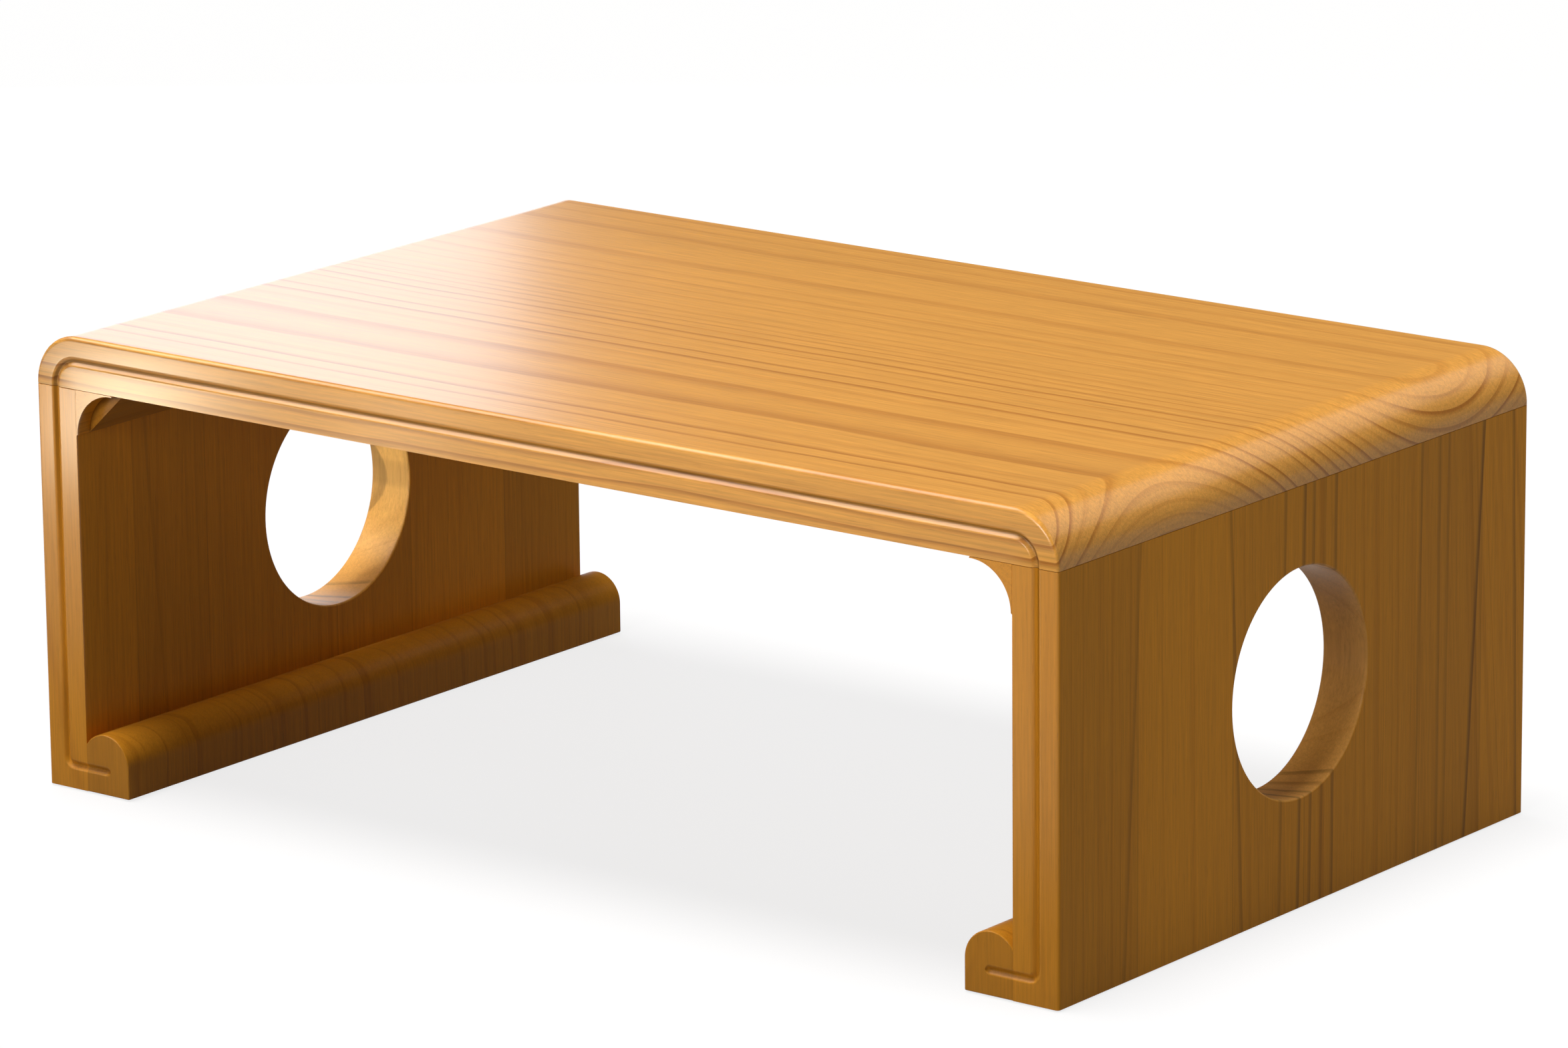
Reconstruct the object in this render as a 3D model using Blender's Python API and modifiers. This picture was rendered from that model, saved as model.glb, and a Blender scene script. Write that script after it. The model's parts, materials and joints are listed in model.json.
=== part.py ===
"""Folding low table: a solid wooden top on two panel legs that fold in under it.

Metres, with +Z up. The origin is on the floor under the middle of the top, X runs along the top
and the front faces -Y. Each leg is a side panel with a foot rail and a hinge block. It turns about
an axis at the block's inner edge, just under the top, and is modelled in a frame on that axis whose
x points in towards the middle of the table.
"""

import math

import bmesh
import bpy
from mathutils import Matrix, Vector

# Overall size of the opened table
LENGTH = 0.800
DEPTH = 0.500
HEIGHT = 0.300

# Top panel
TOP_THICKNESS = 0.034
END_LAND = 0.001  # upright strip under each rounded end
NOSING_RADIUS = 0.0055

# Side panels
PANEL_THICKNESS = 0.033
PANEL_EDGE_RADIUS = 0.002
HOLE_RADIUS = 0.072
HOLE_RISE = 0.0045  # above the middle between foot rail and hinge block

# Line carved into the front and back faces
GROOVE_INSET = 0.016  # from the outline to the middle of the line
GROOVE_WIDTH = 0.007
GROOVE_DEPTH = 0.0024
GROOVE_BEND = 0.004  # radius of its turn at the foot
GROOVE_FOOT_RUN = 0.037  # how far it runs in along the foot

# Foot rails
RAIL_WIDTH = 0.035
RAIL_HEIGHT = 0.041
RAIL_ROUND = 0.0195  # radius of its top, which runs into the side panel

# Hinge blocks
BLOCK_HEIGHT = 0.030
COVE_DEPTH = 0.012  # how far the hollow at each end of the block goes in
COVE_LIP = 0.0008  # wood left at the thin ends of the hollow

# Hinges
HINGE_LENGTH = 0.060
HINGE_END_DISTANCE = 0.100  # front or back face to the middle of the hinge
LEAF_WIDTH = 0.022
LEAF_THICKNESS = 0.0015
KNUCKLES = 5
BARREL_WALL = 0.0013
PIN_RADIUS = 0.0012
PIN_HEAD_OVERHANG = 0.0009
PIN_HEAD_HEIGHT = 0.0010

# Countersunk screws
SCREW_SHANK_RADIUS = 0.0015
SCREW_HEAD_RADIUS = 0.0029
SCREW_HEAD_HEIGHT = 0.0013
SCREW_POINT = 0.002
SCREW_COVER = 0.002  # wood left beyond the point of a screw in the hinge block
SCREW_EDGE_DISTANCE = 0.0075  # leaf's long edge to its screws
SCREW_END_DISTANCE = 0.012  # leaf's short edge to its screws
RECESS_WIDTH = 0.0008
RECESS_SPAN = 0.0034
RECESS_DEPTH = 0.0008

# Magnet catches
CATCH_END_DISTANCE = 0.050
MAGNET_RADIUS = 0.0075
MAGNET_THICKNESS = 0.004
STRIKE_RADIUS = 0.008
STRIKE_THICKNESS = 0.002

# Foot pads
PAD_END_DISTANCE = 0.030
PAD_RADIUS = 0.011
PAD_THICKNESS = 0.003
PAD_PROUD = 0.001

# Dowels
RAIL_DOWEL_END_DISTANCE = 0.100
RAIL_DOWEL_RADIUS = 0.004
RAIL_DOWEL_HEIGHT = 0.018
RAIL_DOWEL_DEPTH = 0.018  # in the panel and in the rail
BLOCK_DOWEL_END_DISTANCE = 0.175
BLOCK_DOWEL_RADIUS = 0.003
BLOCK_DOWEL_DROP = 0.011  # below the top of the block
BLOCK_DOWEL_DEPTH = 0.016  # in the panel
BLOCK_DOWEL_COVER = 0.004  # wood left between the dowel and the block's sloping face

# Clearances
SEAM = 0.0003  # between pieces that lie face to face
FIT = 0.0002  # round a piece set into a hole
PIN_CLEARANCE = 0.0001
KNUCKLE_GAP = 0.0004
TOE_GAP = 0.0005  # between the barrel and the edge of the hinge block
FOLD_CLEARANCE = 0.0014  # between a folded leg's foot rail and the top
OVERCUT = 0.002  # how far a cutter runs past the face it opens

# Fineness of round shapes
END_STEPS = 10
RAIL_STEPS = 16
HOLE_SIDES = 48
COVE_SIDES = 40
DISC_SIDES = 20
DOWEL_SIDES = 12
BARREL_STEPS = 14
PIN_SIDES = 12
SCREW_SIDES = 10
BEND_STEPS = 3
GROOVE_RESOLUTION = 2
NOSING_SEGMENTS = 3
EDGE_SEGMENTS = 2
WELD = 1e-6
SHARP_ANGLE = math.radians(35)  # between faces whose shared edge shows as an edge
FLAT_ANGLE = math.radians(0.1)  # between faces that count as one

# Levels and insets worked out from the sizes above. An inset is measured from the outer face of the leg.
UNDERSIDE = HEIGHT - TOP_THICKNESS
END_RADIUS = TOP_THICKNESS - END_LAND
LEG_TOP = UNDERSIDE - SEAM
BLOCK_HEEL = UNDERSIDE - BLOCK_HEIGHT
HOLE_LEVEL = (RAIL_HEIGHT + BLOCK_HEEL) / 2 + HOLE_RISE
INNER_FACE = PANEL_THICKNESS + SEAM
RAIL_INNER = INNER_FACE + RAIL_WIDTH
GROOVE_CUTTER_RADIUS = ((GROOVE_WIDTH / 2) ** 2 + GROOVE_DEPTH**2) / (2 * GROOVE_DEPTH)

# The barrel lies against the top, and the folded foot rail comes up to just under the top.
BORE_RADIUS = PIN_RADIUS + PIN_CLEARANCE
BARREL_RADIUS = BORE_RADIUS + BARREL_WALL
AXIS_LEVEL = UNDERSIDE - SEAM - BARREL_RADIUS
AXIS_INSET = RAIL_INNER - (BARREL_RADIUS + SEAM - FOLD_CLEARANCE)

# The block's sloping face starts at its heel on the panel and passes one leaf's seat from the hinge axis.
AXIS_RUN = AXIS_INSET - INNER_FACE
AXIS_RISE = AXIS_LEVEL - BLOCK_HEEL
SEAT_ANGLE = math.asin((BARREL_RADIUS + SEAM) / math.hypot(AXIS_RUN, AXIS_RISE))
FACE_ANGLE = math.atan2(AXIS_RISE, AXIS_RUN) + SEAT_ANGLE
TOE_INSET = AXIS_INSET - BARREL_RADIUS - TOE_GAP
TOE_LEVEL = BLOCK_HEEL + (TOE_INSET - INNER_FACE) * math.tan(FACE_ANGLE)

# A screw in the block goes in square to the sloping face and stops short of the block's top.
SCREW_REACH = LEAF_WIDTH - SCREW_EDGE_DISTANCE
SCREW_SPACING = HINGE_LENGTH - 2 * SCREW_END_DISTANCE
SCREW_HEADROOM = BARREL_RADIUS + SCREW_REACH * math.sin(FACE_ANGLE)
SCREW_DEPTH = SCREW_HEADROOM / math.cos(FACE_ANGLE) - BARREL_RADIUS - SEAM - SCREW_COVER
SCREW_LENGTH = LEAF_THICKNESS + SEAM + SCREW_DEPTH


def new_collection(name):
    collection = bpy.data.collections.new(name)
    bpy.context.scene.collection.children.link(collection)
    return collection


def new_material(name, colour, roughness, metallic=0.0):
    material = bpy.data.materials.new(name)
    material.use_nodes = True
    shader = material.node_tree.nodes["Principled BSDF"]
    shader.inputs["Base Color"].default_value = (*colour, 1.0)
    shader.inputs["Roughness"].default_value = roughness
    shader.inputs["Metallic"].default_value = metallic
    return material


def add_frame(name, matrix):
    """An empty that carries the pieces of one side."""
    frame = bpy.data.objects.new(name, None)
    PARTS.objects.link(frame)
    frame.matrix_basis = matrix
    return frame


def add_part(name, mesh, material, frame, matrix):
    part = bpy.data.objects.new(name, mesh)
    PARTS.objects.link(part)
    part.parent = frame
    part.matrix_basis = matrix
    if not mesh.materials:
        mesh.materials.append(material)
    mesh.shade_smooth()
    mesh.set_sharp_from_angle(angle=SHARP_ANGLE)
    return part


def add_cutter(name, mesh, frame, matrix):
    """A shape that is cut from a part or serves as its pattern, and isn't a part itself."""
    cutter = bpy.data.objects.new(name, mesh)
    CUTTERS.objects.link(cutter)
    cutter.parent = frame
    cutter.matrix_basis = matrix
    cutter.hide_render = True
    cutter.display_type = "WIRE"
    return cutter


def cut(part, cutter):
    boolean = part.modifiers.new(cutter.name, "BOOLEAN")
    boolean.operation = "DIFFERENCE"
    boolean.solver = "EXACT"
    boolean.object = cutter


def evaluated_mesh(obj):
    return bpy.data.meshes.new_from_object(obj.evaluated_get(bpy.context.evaluated_depsgraph_get()))


def box_mesh(name, size):
    shape = bmesh.new()
    bmesh.ops.create_cube(shape, size=1.0, matrix=Matrix.Diagonal((*size, 1.0)))
    mesh = bpy.data.meshes.new(name)
    shape.to_mesh(mesh)
    shape.free()
    return mesh


def cylinder_mesh(name, radius, length, sides):
    shape = bmesh.new()
    bmesh.ops.create_cone(shape, cap_ends=True, segments=sides, radius1=radius, radius2=radius, depth=length)
    mesh = bpy.data.meshes.new(name)
    shape.to_mesh(mesh)
    shape.free()
    return mesh


def mesh_from_curve(curve):
    """The closed mesh of a curve: its caps are welded on, and flat faces are joined into one."""
    guide = add_cutter(curve.name, curve, None, Matrix.Identity(4))
    mesh = evaluated_mesh(guide)
    bpy.data.objects.remove(guide)
    shape = bmesh.new()
    shape.from_mesh(mesh)
    bmesh.ops.remove_doubles(shape, verts=shape.verts, dist=WELD)
    bmesh.ops.dissolve_limit(shape, angle_limit=FLAT_ANGLE, verts=shape.verts, edges=shape.edges)
    bmesh.ops.recalc_face_normals(shape, faces=shape.faces)
    shape.to_mesh(mesh)
    shape.free()
    return mesh


def extruded_mesh(name, outlines, thickness):
    """Closed outlines in XY, an inner one being a hole, made as thick as asked about Z = 0."""
    curve = bpy.data.curves.new(name, "CURVE")
    curve.dimensions = "2D"
    curve.fill_mode = "BOTH"
    curve.extrude = thickness / 2
    for outline in outlines:
        spline = curve.splines.new("POLY")
        spline.points.add(len(outline) - 1)
        for point, (x, y) in zip(spline.points, outline):
            point.co = (x, y, 0.0, 1.0)
        spline.use_cyclic_u = True
    return mesh_from_curve(curve)


def tube_mesh(name, path, radius):
    """A round bar along a path of (x, z) points at y = 0."""
    curve = bpy.data.curves.new(name, "CURVE")
    curve.dimensions = "3D"
    curve.bevel_depth = radius
    curve.bevel_resolution = GROOVE_RESOLUTION
    curve.use_fill_caps = True
    spline = curve.splines.new("POLY")
    spline.points.add(len(path) - 1)
    for point, (x, z) in zip(spline.points, path):
        point.co = (x, 0.0, z, 1.0)
    return mesh_from_curve(curve)


def turned_guide(name, profile, sides, closed=False):
    """A profile of (radius, z) points, from the top down its outer side, turned about Z."""
    edges = [(i, i + 1) for i in range(len(profile) - 1)]
    if closed:
        edges.append((len(profile) - 1, 0))
    mesh = bpy.data.meshes.new(name)
    mesh.from_pydata([(radius, 0.0, z) for radius, z in profile], edges, [])
    guide = add_cutter(name, mesh, None, Matrix.Identity(4))
    screw = guide.modifiers.new("Turn", "SCREW")
    screw.axis = "Z"
    screw.steps = sides
    screw.render_steps = sides
    screw.use_merge_vertices = True
    screw.merge_threshold = WELD
    return guide


def arc(centre, radius, start, end, steps):
    """Points on an arc, with its angles in degrees."""
    points = []
    for step in range(steps + 1):
        angle = math.radians(start + (end - start) * step / steps)
        points.append((centre[0] + radius * math.cos(angle), centre[1] + radius * math.sin(angle)))
    return points


def round_edges(part, radius, segments, chosen):
    """Bevels each edge of a part for whose end points chosen(a, b) holds."""
    weights = part.data.attributes.new("bevel_weight_edge", "FLOAT", "EDGE")
    vertices = part.data.vertices
    for edge in part.data.edges:
        a, b = (vertices[index].co for index in edge.vertices)
        weights.data[edge.index].value = 1.0 if chosen(a, b) else 0.0
    bevel = part.modifiers.new("Rounded edges", "BEVEL")
    bevel.limit_method = "WEIGHT"
    bevel.width = radius
    bevel.segments = segments


def in_leg(inset, y, level):
    """A place in a leg's frame, from its distance in from the outer face and its height above the floor."""
    return Vector((inset - AXIS_INSET, y, level - AXIS_LEVEL))


def along_x(start, end, y, level):
    """Places a shape that is made along Z so that it lies along x between two insets."""
    return Matrix.Translation(in_leg((start + end) / 2, y, level)) @ Matrix.Rotation(math.pi / 2, 4, "Y")


def upright(inset, y, low, high):
    """Places a shape that is made along Z so that it stands between two levels."""
    return Matrix.Translation(in_leg(inset, y, (low + high) / 2))


def columns(u, v):
    """The turn that takes x to u and y to v."""
    return Matrix((u, v, u.cross(v))).transposed().to_4x4()


def leaf_mesh(name, own_knuckles):
    """A hinge leaf: its barrel lies on z, and its plate runs out along x at the barrel's y side."""
    plate_inside = BARREL_RADIUS - LEAF_THICKNESS
    meeting = math.degrees(math.asin(plate_inside / BARREL_RADIUS))
    barrel = arc((0, 0), BARREL_RADIUS, meeting, -270, BARREL_STEPS)
    plate = [(LEAF_WIDTH, BARREL_RADIUS), (LEAF_WIDTH, plate_inside)]
    bore = arc((0, 0), BORE_RADIUS, 0, 360, PIN_SIDES)[:-1]
    whole = extruded_mesh(name, [plate + barrel, bore], HINGE_LENGTH)
    pattern = add_cutter(name, whole, None, Matrix.Identity(4))
    step = HINGE_LENGTH / KNUCKLES
    for knuckle in range(KNUCKLES):
        if knuckle in own_knuckles:
            continue
        low = -HINGE_LENGTH / 2 + knuckle * step - KNUCKLE_GAP / 2
        high = low + step + KNUCKLE_GAP
        if knuckle == 0:
            low -= OVERCUT
        if knuckle == KNUCKLES - 1:
            high += OVERCUT
        right = BARREL_RADIUS + KNUCKLE_GAP
        left = -BARREL_RADIUS - OVERCUT
        size = (right - left, 2 * (BARREL_RADIUS + OVERCUT), high - low)
        place = Matrix.Translation(((left + right) / 2, 0, (low + high) / 2))
        cut(pattern, add_cutter(f"{name}_notch_{knuckle}", box_mesh(f"{name}_notch", size), None, place))
    for number, seat in enumerate(screw_seats(), 1):
        cut(pattern, add_cutter(f"{name}_countersink_{number}", COUNTERSINK, None, seat))
    return evaluated_mesh(pattern)


def screw_seats():
    """Where the screws sit in a leaf's frame, their heads flush with its plate and their z pointing out."""
    head = BARREL_RADIUS - LEAF_THICKNESS
    turn = Matrix.Rotation(math.pi / 2, 4, "X")
    return [Matrix.Translation((SCREW_REACH, head, side * SCREW_SPACING / 2)) @ turn for side in (-1, 1)]


def countersink_mesh():
    """The hole for a screw in a plate, open at both faces."""
    wide = SCREW_HEAD_RADIUS + FIT
    narrow = SCREW_SHANK_RADIUS + FIT
    low = -max(LEAF_THICKNESS, STRIKE_THICKNESS) - OVERCUT
    neck = -SCREW_HEAD_HEIGHT - FIT
    profile = [(0, OVERCUT), (wide, OVERCUT), (wide, 0), (narrow, neck), (narrow, low), (0, low)]
    return evaluated_mesh(turned_guide("countersink", profile, SCREW_SIDES))


def screw_mesh():
    """A wood screw with a cross recess, its head's face at z = 0."""
    neck = SCREW_POINT - SCREW_LENGTH
    profile = [
        (0, 0),
        (SCREW_HEAD_RADIUS, 0),
        (SCREW_SHANK_RADIUS, -SCREW_HEAD_HEIGHT),
        (SCREW_SHANK_RADIUS, neck),
        (0, -SCREW_LENGTH),
    ]
    pattern = turned_guide("screw", profile, SCREW_SIDES)
    span, half = RECESS_SPAN / 2, RECESS_WIDTH / 2
    arm = [(span, -half), (span, half), (half, half)]
    cross = []
    for quarter in range(4):
        turn = Matrix.Rotation(quarter * math.pi / 2, 2)
        cross += [tuple(turn @ Vector(point)) for point in arm]
    recess = extruded_mesh("screw_recess", [cross], 2 * RECESS_DEPTH)
    cut(pattern, add_cutter("screw_recess", recess, None, Matrix.Identity(4)))
    return evaluated_mesh(pattern)


def pin_mesh():
    """A hinge pin along z, headed at both ends."""
    head = PIN_RADIUS + PIN_HEAD_OVERHANG
    inner = HINGE_LENGTH / 2 + KNUCKLE_GAP
    outer = inner + PIN_HEAD_HEIGHT
    upper = [(0, outer), (head, outer), (head, inner), (PIN_RADIUS, inner)]
    lower = [(radius, -z) for radius, z in reversed(upper)]
    return evaluated_mesh(turned_guide("hinge_pin", upper + lower, PIN_SIDES))


def strike_mesh():
    """A steel disc with a countersunk hole, its upper face at z = 0."""
    hole = SCREW_HEAD_RADIUS + FIT
    narrow = SCREW_SHANK_RADIUS + FIT
    profile = [
        (hole, 0),
        (STRIKE_RADIUS, 0),
        (STRIKE_RADIUS, -STRIKE_THICKNESS),
        (narrow, -STRIKE_THICKNESS),
        (narrow, -SCREW_HEAD_HEIGHT - FIT),
    ]
    return evaluated_mesh(turned_guide("strike", profile, DISC_SIDES, closed=True))


def cut_grooves(part, name, path, frame):
    """Carves the line into the front and back faces of a part, along a path of (x, z) points in its frame."""
    mesh = tube_mesh(name, path, GROOVE_CUTTER_RADIUS)
    offset = DEPTH / 2 + GROOVE_CUTTER_RADIUS - GROOVE_DEPTH
    for side in (-1, 1):
        cut(part, add_cutter(name, mesh, frame, Matrix.Translation((0, side * offset, 0))))


def make_top():
    """The top panel: rounded over at both ends, nosed along the top, its long edges with the carved line."""
    half = LENGTH / 2
    centre_level = HEIGHT - END_RADIUS
    ends = []
    for side, start, end in ((-1, 180, 90), (1, 90, 0)):
        ends += arc((side * (half - END_RADIUS), centre_level), END_RADIUS, start, end, END_STEPS)
    outline = [(-half, UNDERSIDE), *ends, (half, UNDERSIDE)]
    stand = Matrix.Rotation(math.pi / 2, 4, "X")
    top = add_part("top_panel", extruded_mesh("top_panel", [outline], DEPTH), TOP_WOOD, None, stand)

    def on_upper_outline(a, b):
        return abs(a.z - b.z) < WELD and max(a.y, b.y) > UNDERSIDE + WELD

    round_edges(top, NOSING_RADIUS, NOSING_SEGMENTS, on_upper_outline)

    line = half - GROOVE_INSET
    path = [(-line, UNDERSIDE - OVERCUT)]
    for side, start, end in ((-1, 180, 90), (1, 90, 0)):
        centre = (side * (half - END_RADIUS), centre_level)
        path += arc(centre, END_RADIUS - GROOVE_INSET, start, end, END_STEPS)
    path.append((line, UNDERSIDE - OVERCUT))
    cut_grooves(top, "top_groove", path, None)
    return top


def foot_groove_path():
    """The carved line of a leg, in its frame: down the panel, round and in along the foot."""
    turn = GROOVE_INSET + GROOVE_BEND
    level = PAD_PROUD + turn
    run = [(GROOVE_INSET, LEG_TOP + OVERCUT)]
    run += arc((turn, level), GROOVE_BEND, 180, 270, BEND_STEPS)
    run.append((GROOVE_INSET + GROOVE_FOOT_RUN, PAD_PROUD + GROOVE_INSET))
    return [(inset - AXIS_INSET, z - AXIS_LEVEL) for inset, z in run]


def make_side_panel(side, leg):
    """A side panel with its round hole, its outer upright edges eased."""
    size = (PANEL_THICKNESS, DEPTH, LEG_TOP - PAD_PROUD)
    place = upright(PANEL_THICKNESS / 2, 0, PAD_PROUD, LEG_TOP)
    panel = add_part(f"{side}_side_panel", box_mesh(f"{side}_side_panel", size), PANEL_WOOD, leg, place)

    def on_outer_upright(a, b):
        return a.x < 0 and b.x < 0 and abs(a.y - b.y) < WELD

    round_edges(panel, PANEL_EDGE_RADIUS, EDGE_SEGMENTS, on_outer_upright)
    length = PANEL_THICKNESS + 2 * OVERCUT
    hole = cylinder_mesh(f"{side}_hole", HOLE_RADIUS, length, HOLE_SIDES)
    through = along_x(-OVERCUT, PANEL_THICKNESS + OVERCUT, 0, HOLE_LEVEL)
    cut(panel, add_cutter(f"{side}_hole", hole, leg, through))
    cut_grooves(panel, f"{side}_panel_groove", foot_groove_path(), leg)
    return panel


def make_foot_rail(side, leg):
    """A foot rail with a rounded top, whose round ends against the side panel a little below its crown."""
    inner, outer = in_leg(RAIL_INNER, 0, PAD_PROUD), in_leg(INNER_FACE, 0, PAD_PROUD)
    crown = in_leg(RAIL_INNER - RAIL_ROUND, 0, RAIL_HEIGHT - RAIL_ROUND)
    meeting = 180 - math.degrees(math.acos((crown.x - outer.x) / RAIL_ROUND))
    outline = [(outer.x, outer.z), (inner.x, inner.z)]
    outline += arc((crown.x, crown.z), RAIL_ROUND, 0, meeting, RAIL_STEPS)
    stand = Matrix.Rotation(math.pi / 2, 4, "X")
    mesh = extruded_mesh(f"{side}_foot_rail", [outline], DEPTH)
    rail = add_part(f"{side}_foot_rail", mesh, RAIL_WOOD, leg, stand)
    cut_grooves(rail, f"{side}_rail_groove", foot_groove_path(), leg)
    return rail


def make_hinge_block(side, leg):
    """The three-cornered block under the top that carries the hinges, hollowed to a cove at each end."""
    heel = ((INNER_FACE, LEG_TOP), (INNER_FACE, BLOCK_HEEL))
    toe = ((TOE_INSET, TOE_LEVEL), (TOE_INSET, LEG_TOP))
    corners = [in_leg(inset, 0, level) for inset, level in heel + toe]
    outline = [(corner.x, corner.z) for corner in corners]
    stand = Matrix.Rotation(math.pi / 2, 4, "X")
    mesh = extruded_mesh(f"{side}_hinge_block", [outline], DEPTH)
    block = add_part(f"{side}_hinge_block", mesh, BLOCK_WOOD, leg, stand)
    radius = LEG_TOP - BLOCK_HEEL - COVE_LIP
    hollow = cylinder_mesh(f"{side}_cove", radius, 2 * COVE_DEPTH, COVE_SIDES)
    for end in (-1, 1):
        centre = in_leg(INNER_FACE + COVE_LIP + radius, end * DEPTH / 2, LEG_TOP - COVE_LIP - radius)
        place = Matrix.Translation(centre) @ stand
        cut(block, add_cutter(f"{side}_cove", hollow, leg, place))
    return block


def add_hinge(name, y, frame, leg, top, block):
    """A butt hinge: one leaf under the top, one on the block's sloping face, with the pin and four screws."""
    slope_u = Vector((-math.cos(FACE_ANGLE), 0, -math.sin(FACE_ANGLE)))
    slope_v = Vector((-math.sin(FACE_ANGLE), 0, math.cos(FACE_ANGLE)))
    on_top = Matrix.Translation((0, y, 0)) @ columns(Vector((1, 0, 0)), Vector((0, 0, 1)))
    on_slope = Matrix.Translation((0, y, 0)) @ columns(slope_u, slope_v)
    add_part(f"{name}_pin", PIN, STEEL, frame, on_top)
    for kind, mesh, carrier, place, wood in (
        ("top", TOP_LEAF, frame, on_top, top),
        ("leg", LEG_LEAF, leg, on_slope, block),
    ):
        add_part(f"{name}_{kind}_leaf", mesh, STEEL, carrier, place)
        for number, seat in enumerate(screw_seats(), 1):
            add_part(f"{name}_{kind}_screw_{number}", SCREW, SCREW_STEEL, carrier, place @ seat)
            cut(wood, add_cutter(f"{name}_{kind}_pilot_{number}", PILOT, carrier, place @ seat))


def pilot_mesh():
    """The hole for a screw in wood, from above its head to just beyond its point."""
    radius = SCREW_SHANK_RADIUS + FIT
    end = -SCREW_LENGTH - SEAM
    profile = [(0, 0), (radius, 0), (radius, end), (0, end)]
    return evaluated_mesh(turned_guide("pilot", profile, SCREW_SIDES))


def add_catch(name, y, frame, leg, top, panel):
    """A magnet let into the top over a steel strike that is screwed to the top edge of the side panel."""
    middle = PANEL_THICKNESS / 2
    magnet = cylinder_mesh(f"{name}_magnet", MAGNET_RADIUS, MAGNET_THICKNESS, DISC_SIDES)
    place = upright(middle, y, UNDERSIDE, UNDERSIDE + MAGNET_THICKNESS)
    add_part(f"{name}_magnet", magnet, MAGNET, frame, place)
    low, high = UNDERSIDE - OVERCUT, UNDERSIDE + MAGNET_THICKNESS + SEAM
    bore = cylinder_mesh(f"{name}_bore", MAGNET_RADIUS + FIT, high - low, DISC_SIDES)
    cut(top, add_cutter(f"{name}_bore", bore, frame, upright(middle, y, low, high)))

    seat = Matrix.Translation(in_leg(middle, y, LEG_TOP))
    add_part(f"{name}_strike", STRIKE, STEEL, leg, seat)
    add_part(f"{name}_screw", SCREW, SCREW_STEEL, leg, seat)
    low, high = LEG_TOP - STRIKE_THICKNESS - SEAM, LEG_TOP + OVERCUT
    recess = cylinder_mesh(f"{name}_recess", STRIKE_RADIUS + FIT, high - low, DISC_SIDES)
    cut(panel, add_cutter(f"{name}_recess", recess, leg, upright(middle, y, low, high)))
    cut(panel, add_cutter(f"{name}_pilot", PILOT, leg, seat))


def add_foot_pad(name, y, leg, panel):
    """A felt pad let into the foot of the side panel."""
    middle = PANEL_THICKNESS / 2
    pad = cylinder_mesh(name, PAD_RADIUS, PAD_THICKNESS, DISC_SIDES)
    add_part(name, pad, FELT, leg, upright(middle, y, 0, PAD_THICKNESS))
    low, high = PAD_PROUD - OVERCUT, PAD_THICKNESS + SEAM
    recess = cylinder_mesh(f"{name}_recess", PAD_RADIUS + FIT, high - low, DISC_SIDES)
    cut(panel, add_cutter(f"{name}_recess", recess, leg, upright(middle, y, low, high)))


def add_dowel(name, radius, start, end, y, level, leg, pieces):
    """A dowel along x between two insets, and its holes in the pieces that it joins."""
    mesh = cylinder_mesh(name, radius, end - start, DOWEL_SIDES)
    add_part(name, mesh, DOWEL_WOOD, leg, along_x(start, end, y, level))
    hole = cylinder_mesh(f"{name}_hole", radius + FIT, end - start + 2 * SEAM, DOWEL_SIDES)
    cutter = add_cutter(f"{name}_hole", hole, leg, along_x(start, end, y, level))
    for piece in pieces:
        cut(piece, cutter)


def make_side(side, turn, top):
    """One leg with its hinges and catches, in frames on the hinge axis. The right leg is the left turned."""
    place = Matrix.Rotation(turn, 4, "Z") @ Matrix.Translation((AXIS_INSET - LENGTH / 2, 0, AXIS_LEVEL))
    frame = add_frame(f"{side}_hinge_line", place)
    leg = add_frame(f"{side}_leg_axis", place)
    panel = make_side_panel(side, leg)
    rail = make_foot_rail(side, leg)
    block = make_hinge_block(side, leg)
    dowel_level = LEG_TOP - BLOCK_DOWEL_DROP
    dowel_room = (dowel_level - BLOCK_DOWEL_RADIUS - BLOCK_HEEL) / math.tan(FACE_ANGLE)
    for end, toward in (("front", -1), ("back", 1)):
        sign = toward * round(math.cos(turn))
        name = f"{side}_{end}"
        add_hinge(f"{name}_hinge", sign * (DEPTH / 2 - HINGE_END_DISTANCE), frame, leg, top, block)
        add_catch(f"{name}_catch", sign * (DEPTH / 2 - CATCH_END_DISTANCE), frame, leg, top, panel)
        add_foot_pad(f"{name}_foot_pad", sign * (DEPTH / 2 - PAD_END_DISTANCE), leg, panel)
        add_dowel(
            f"{name}_rail_dowel",
            RAIL_DOWEL_RADIUS,
            PANEL_THICKNESS - RAIL_DOWEL_DEPTH,
            INNER_FACE + RAIL_DOWEL_DEPTH,
            sign * (DEPTH / 2 - RAIL_DOWEL_END_DISTANCE),
            RAIL_DOWEL_HEIGHT,
            leg,
            (panel, rail),
        )
        add_dowel(
            f"{name}_block_dowel",
            BLOCK_DOWEL_RADIUS,
            PANEL_THICKNESS - BLOCK_DOWEL_DEPTH,
            INNER_FACE + dowel_room - BLOCK_DOWEL_COVER,
            sign * (DEPTH / 2 - BLOCK_DOWEL_END_DISTANCE),
            dowel_level,
            leg,
            (panel, block),
        )


for old in list(bpy.data.objects):
    bpy.data.objects.remove(old, do_unlink=True)

PARTS = new_collection("folding_low_table")
CUTTERS = new_collection("cutters")

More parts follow.
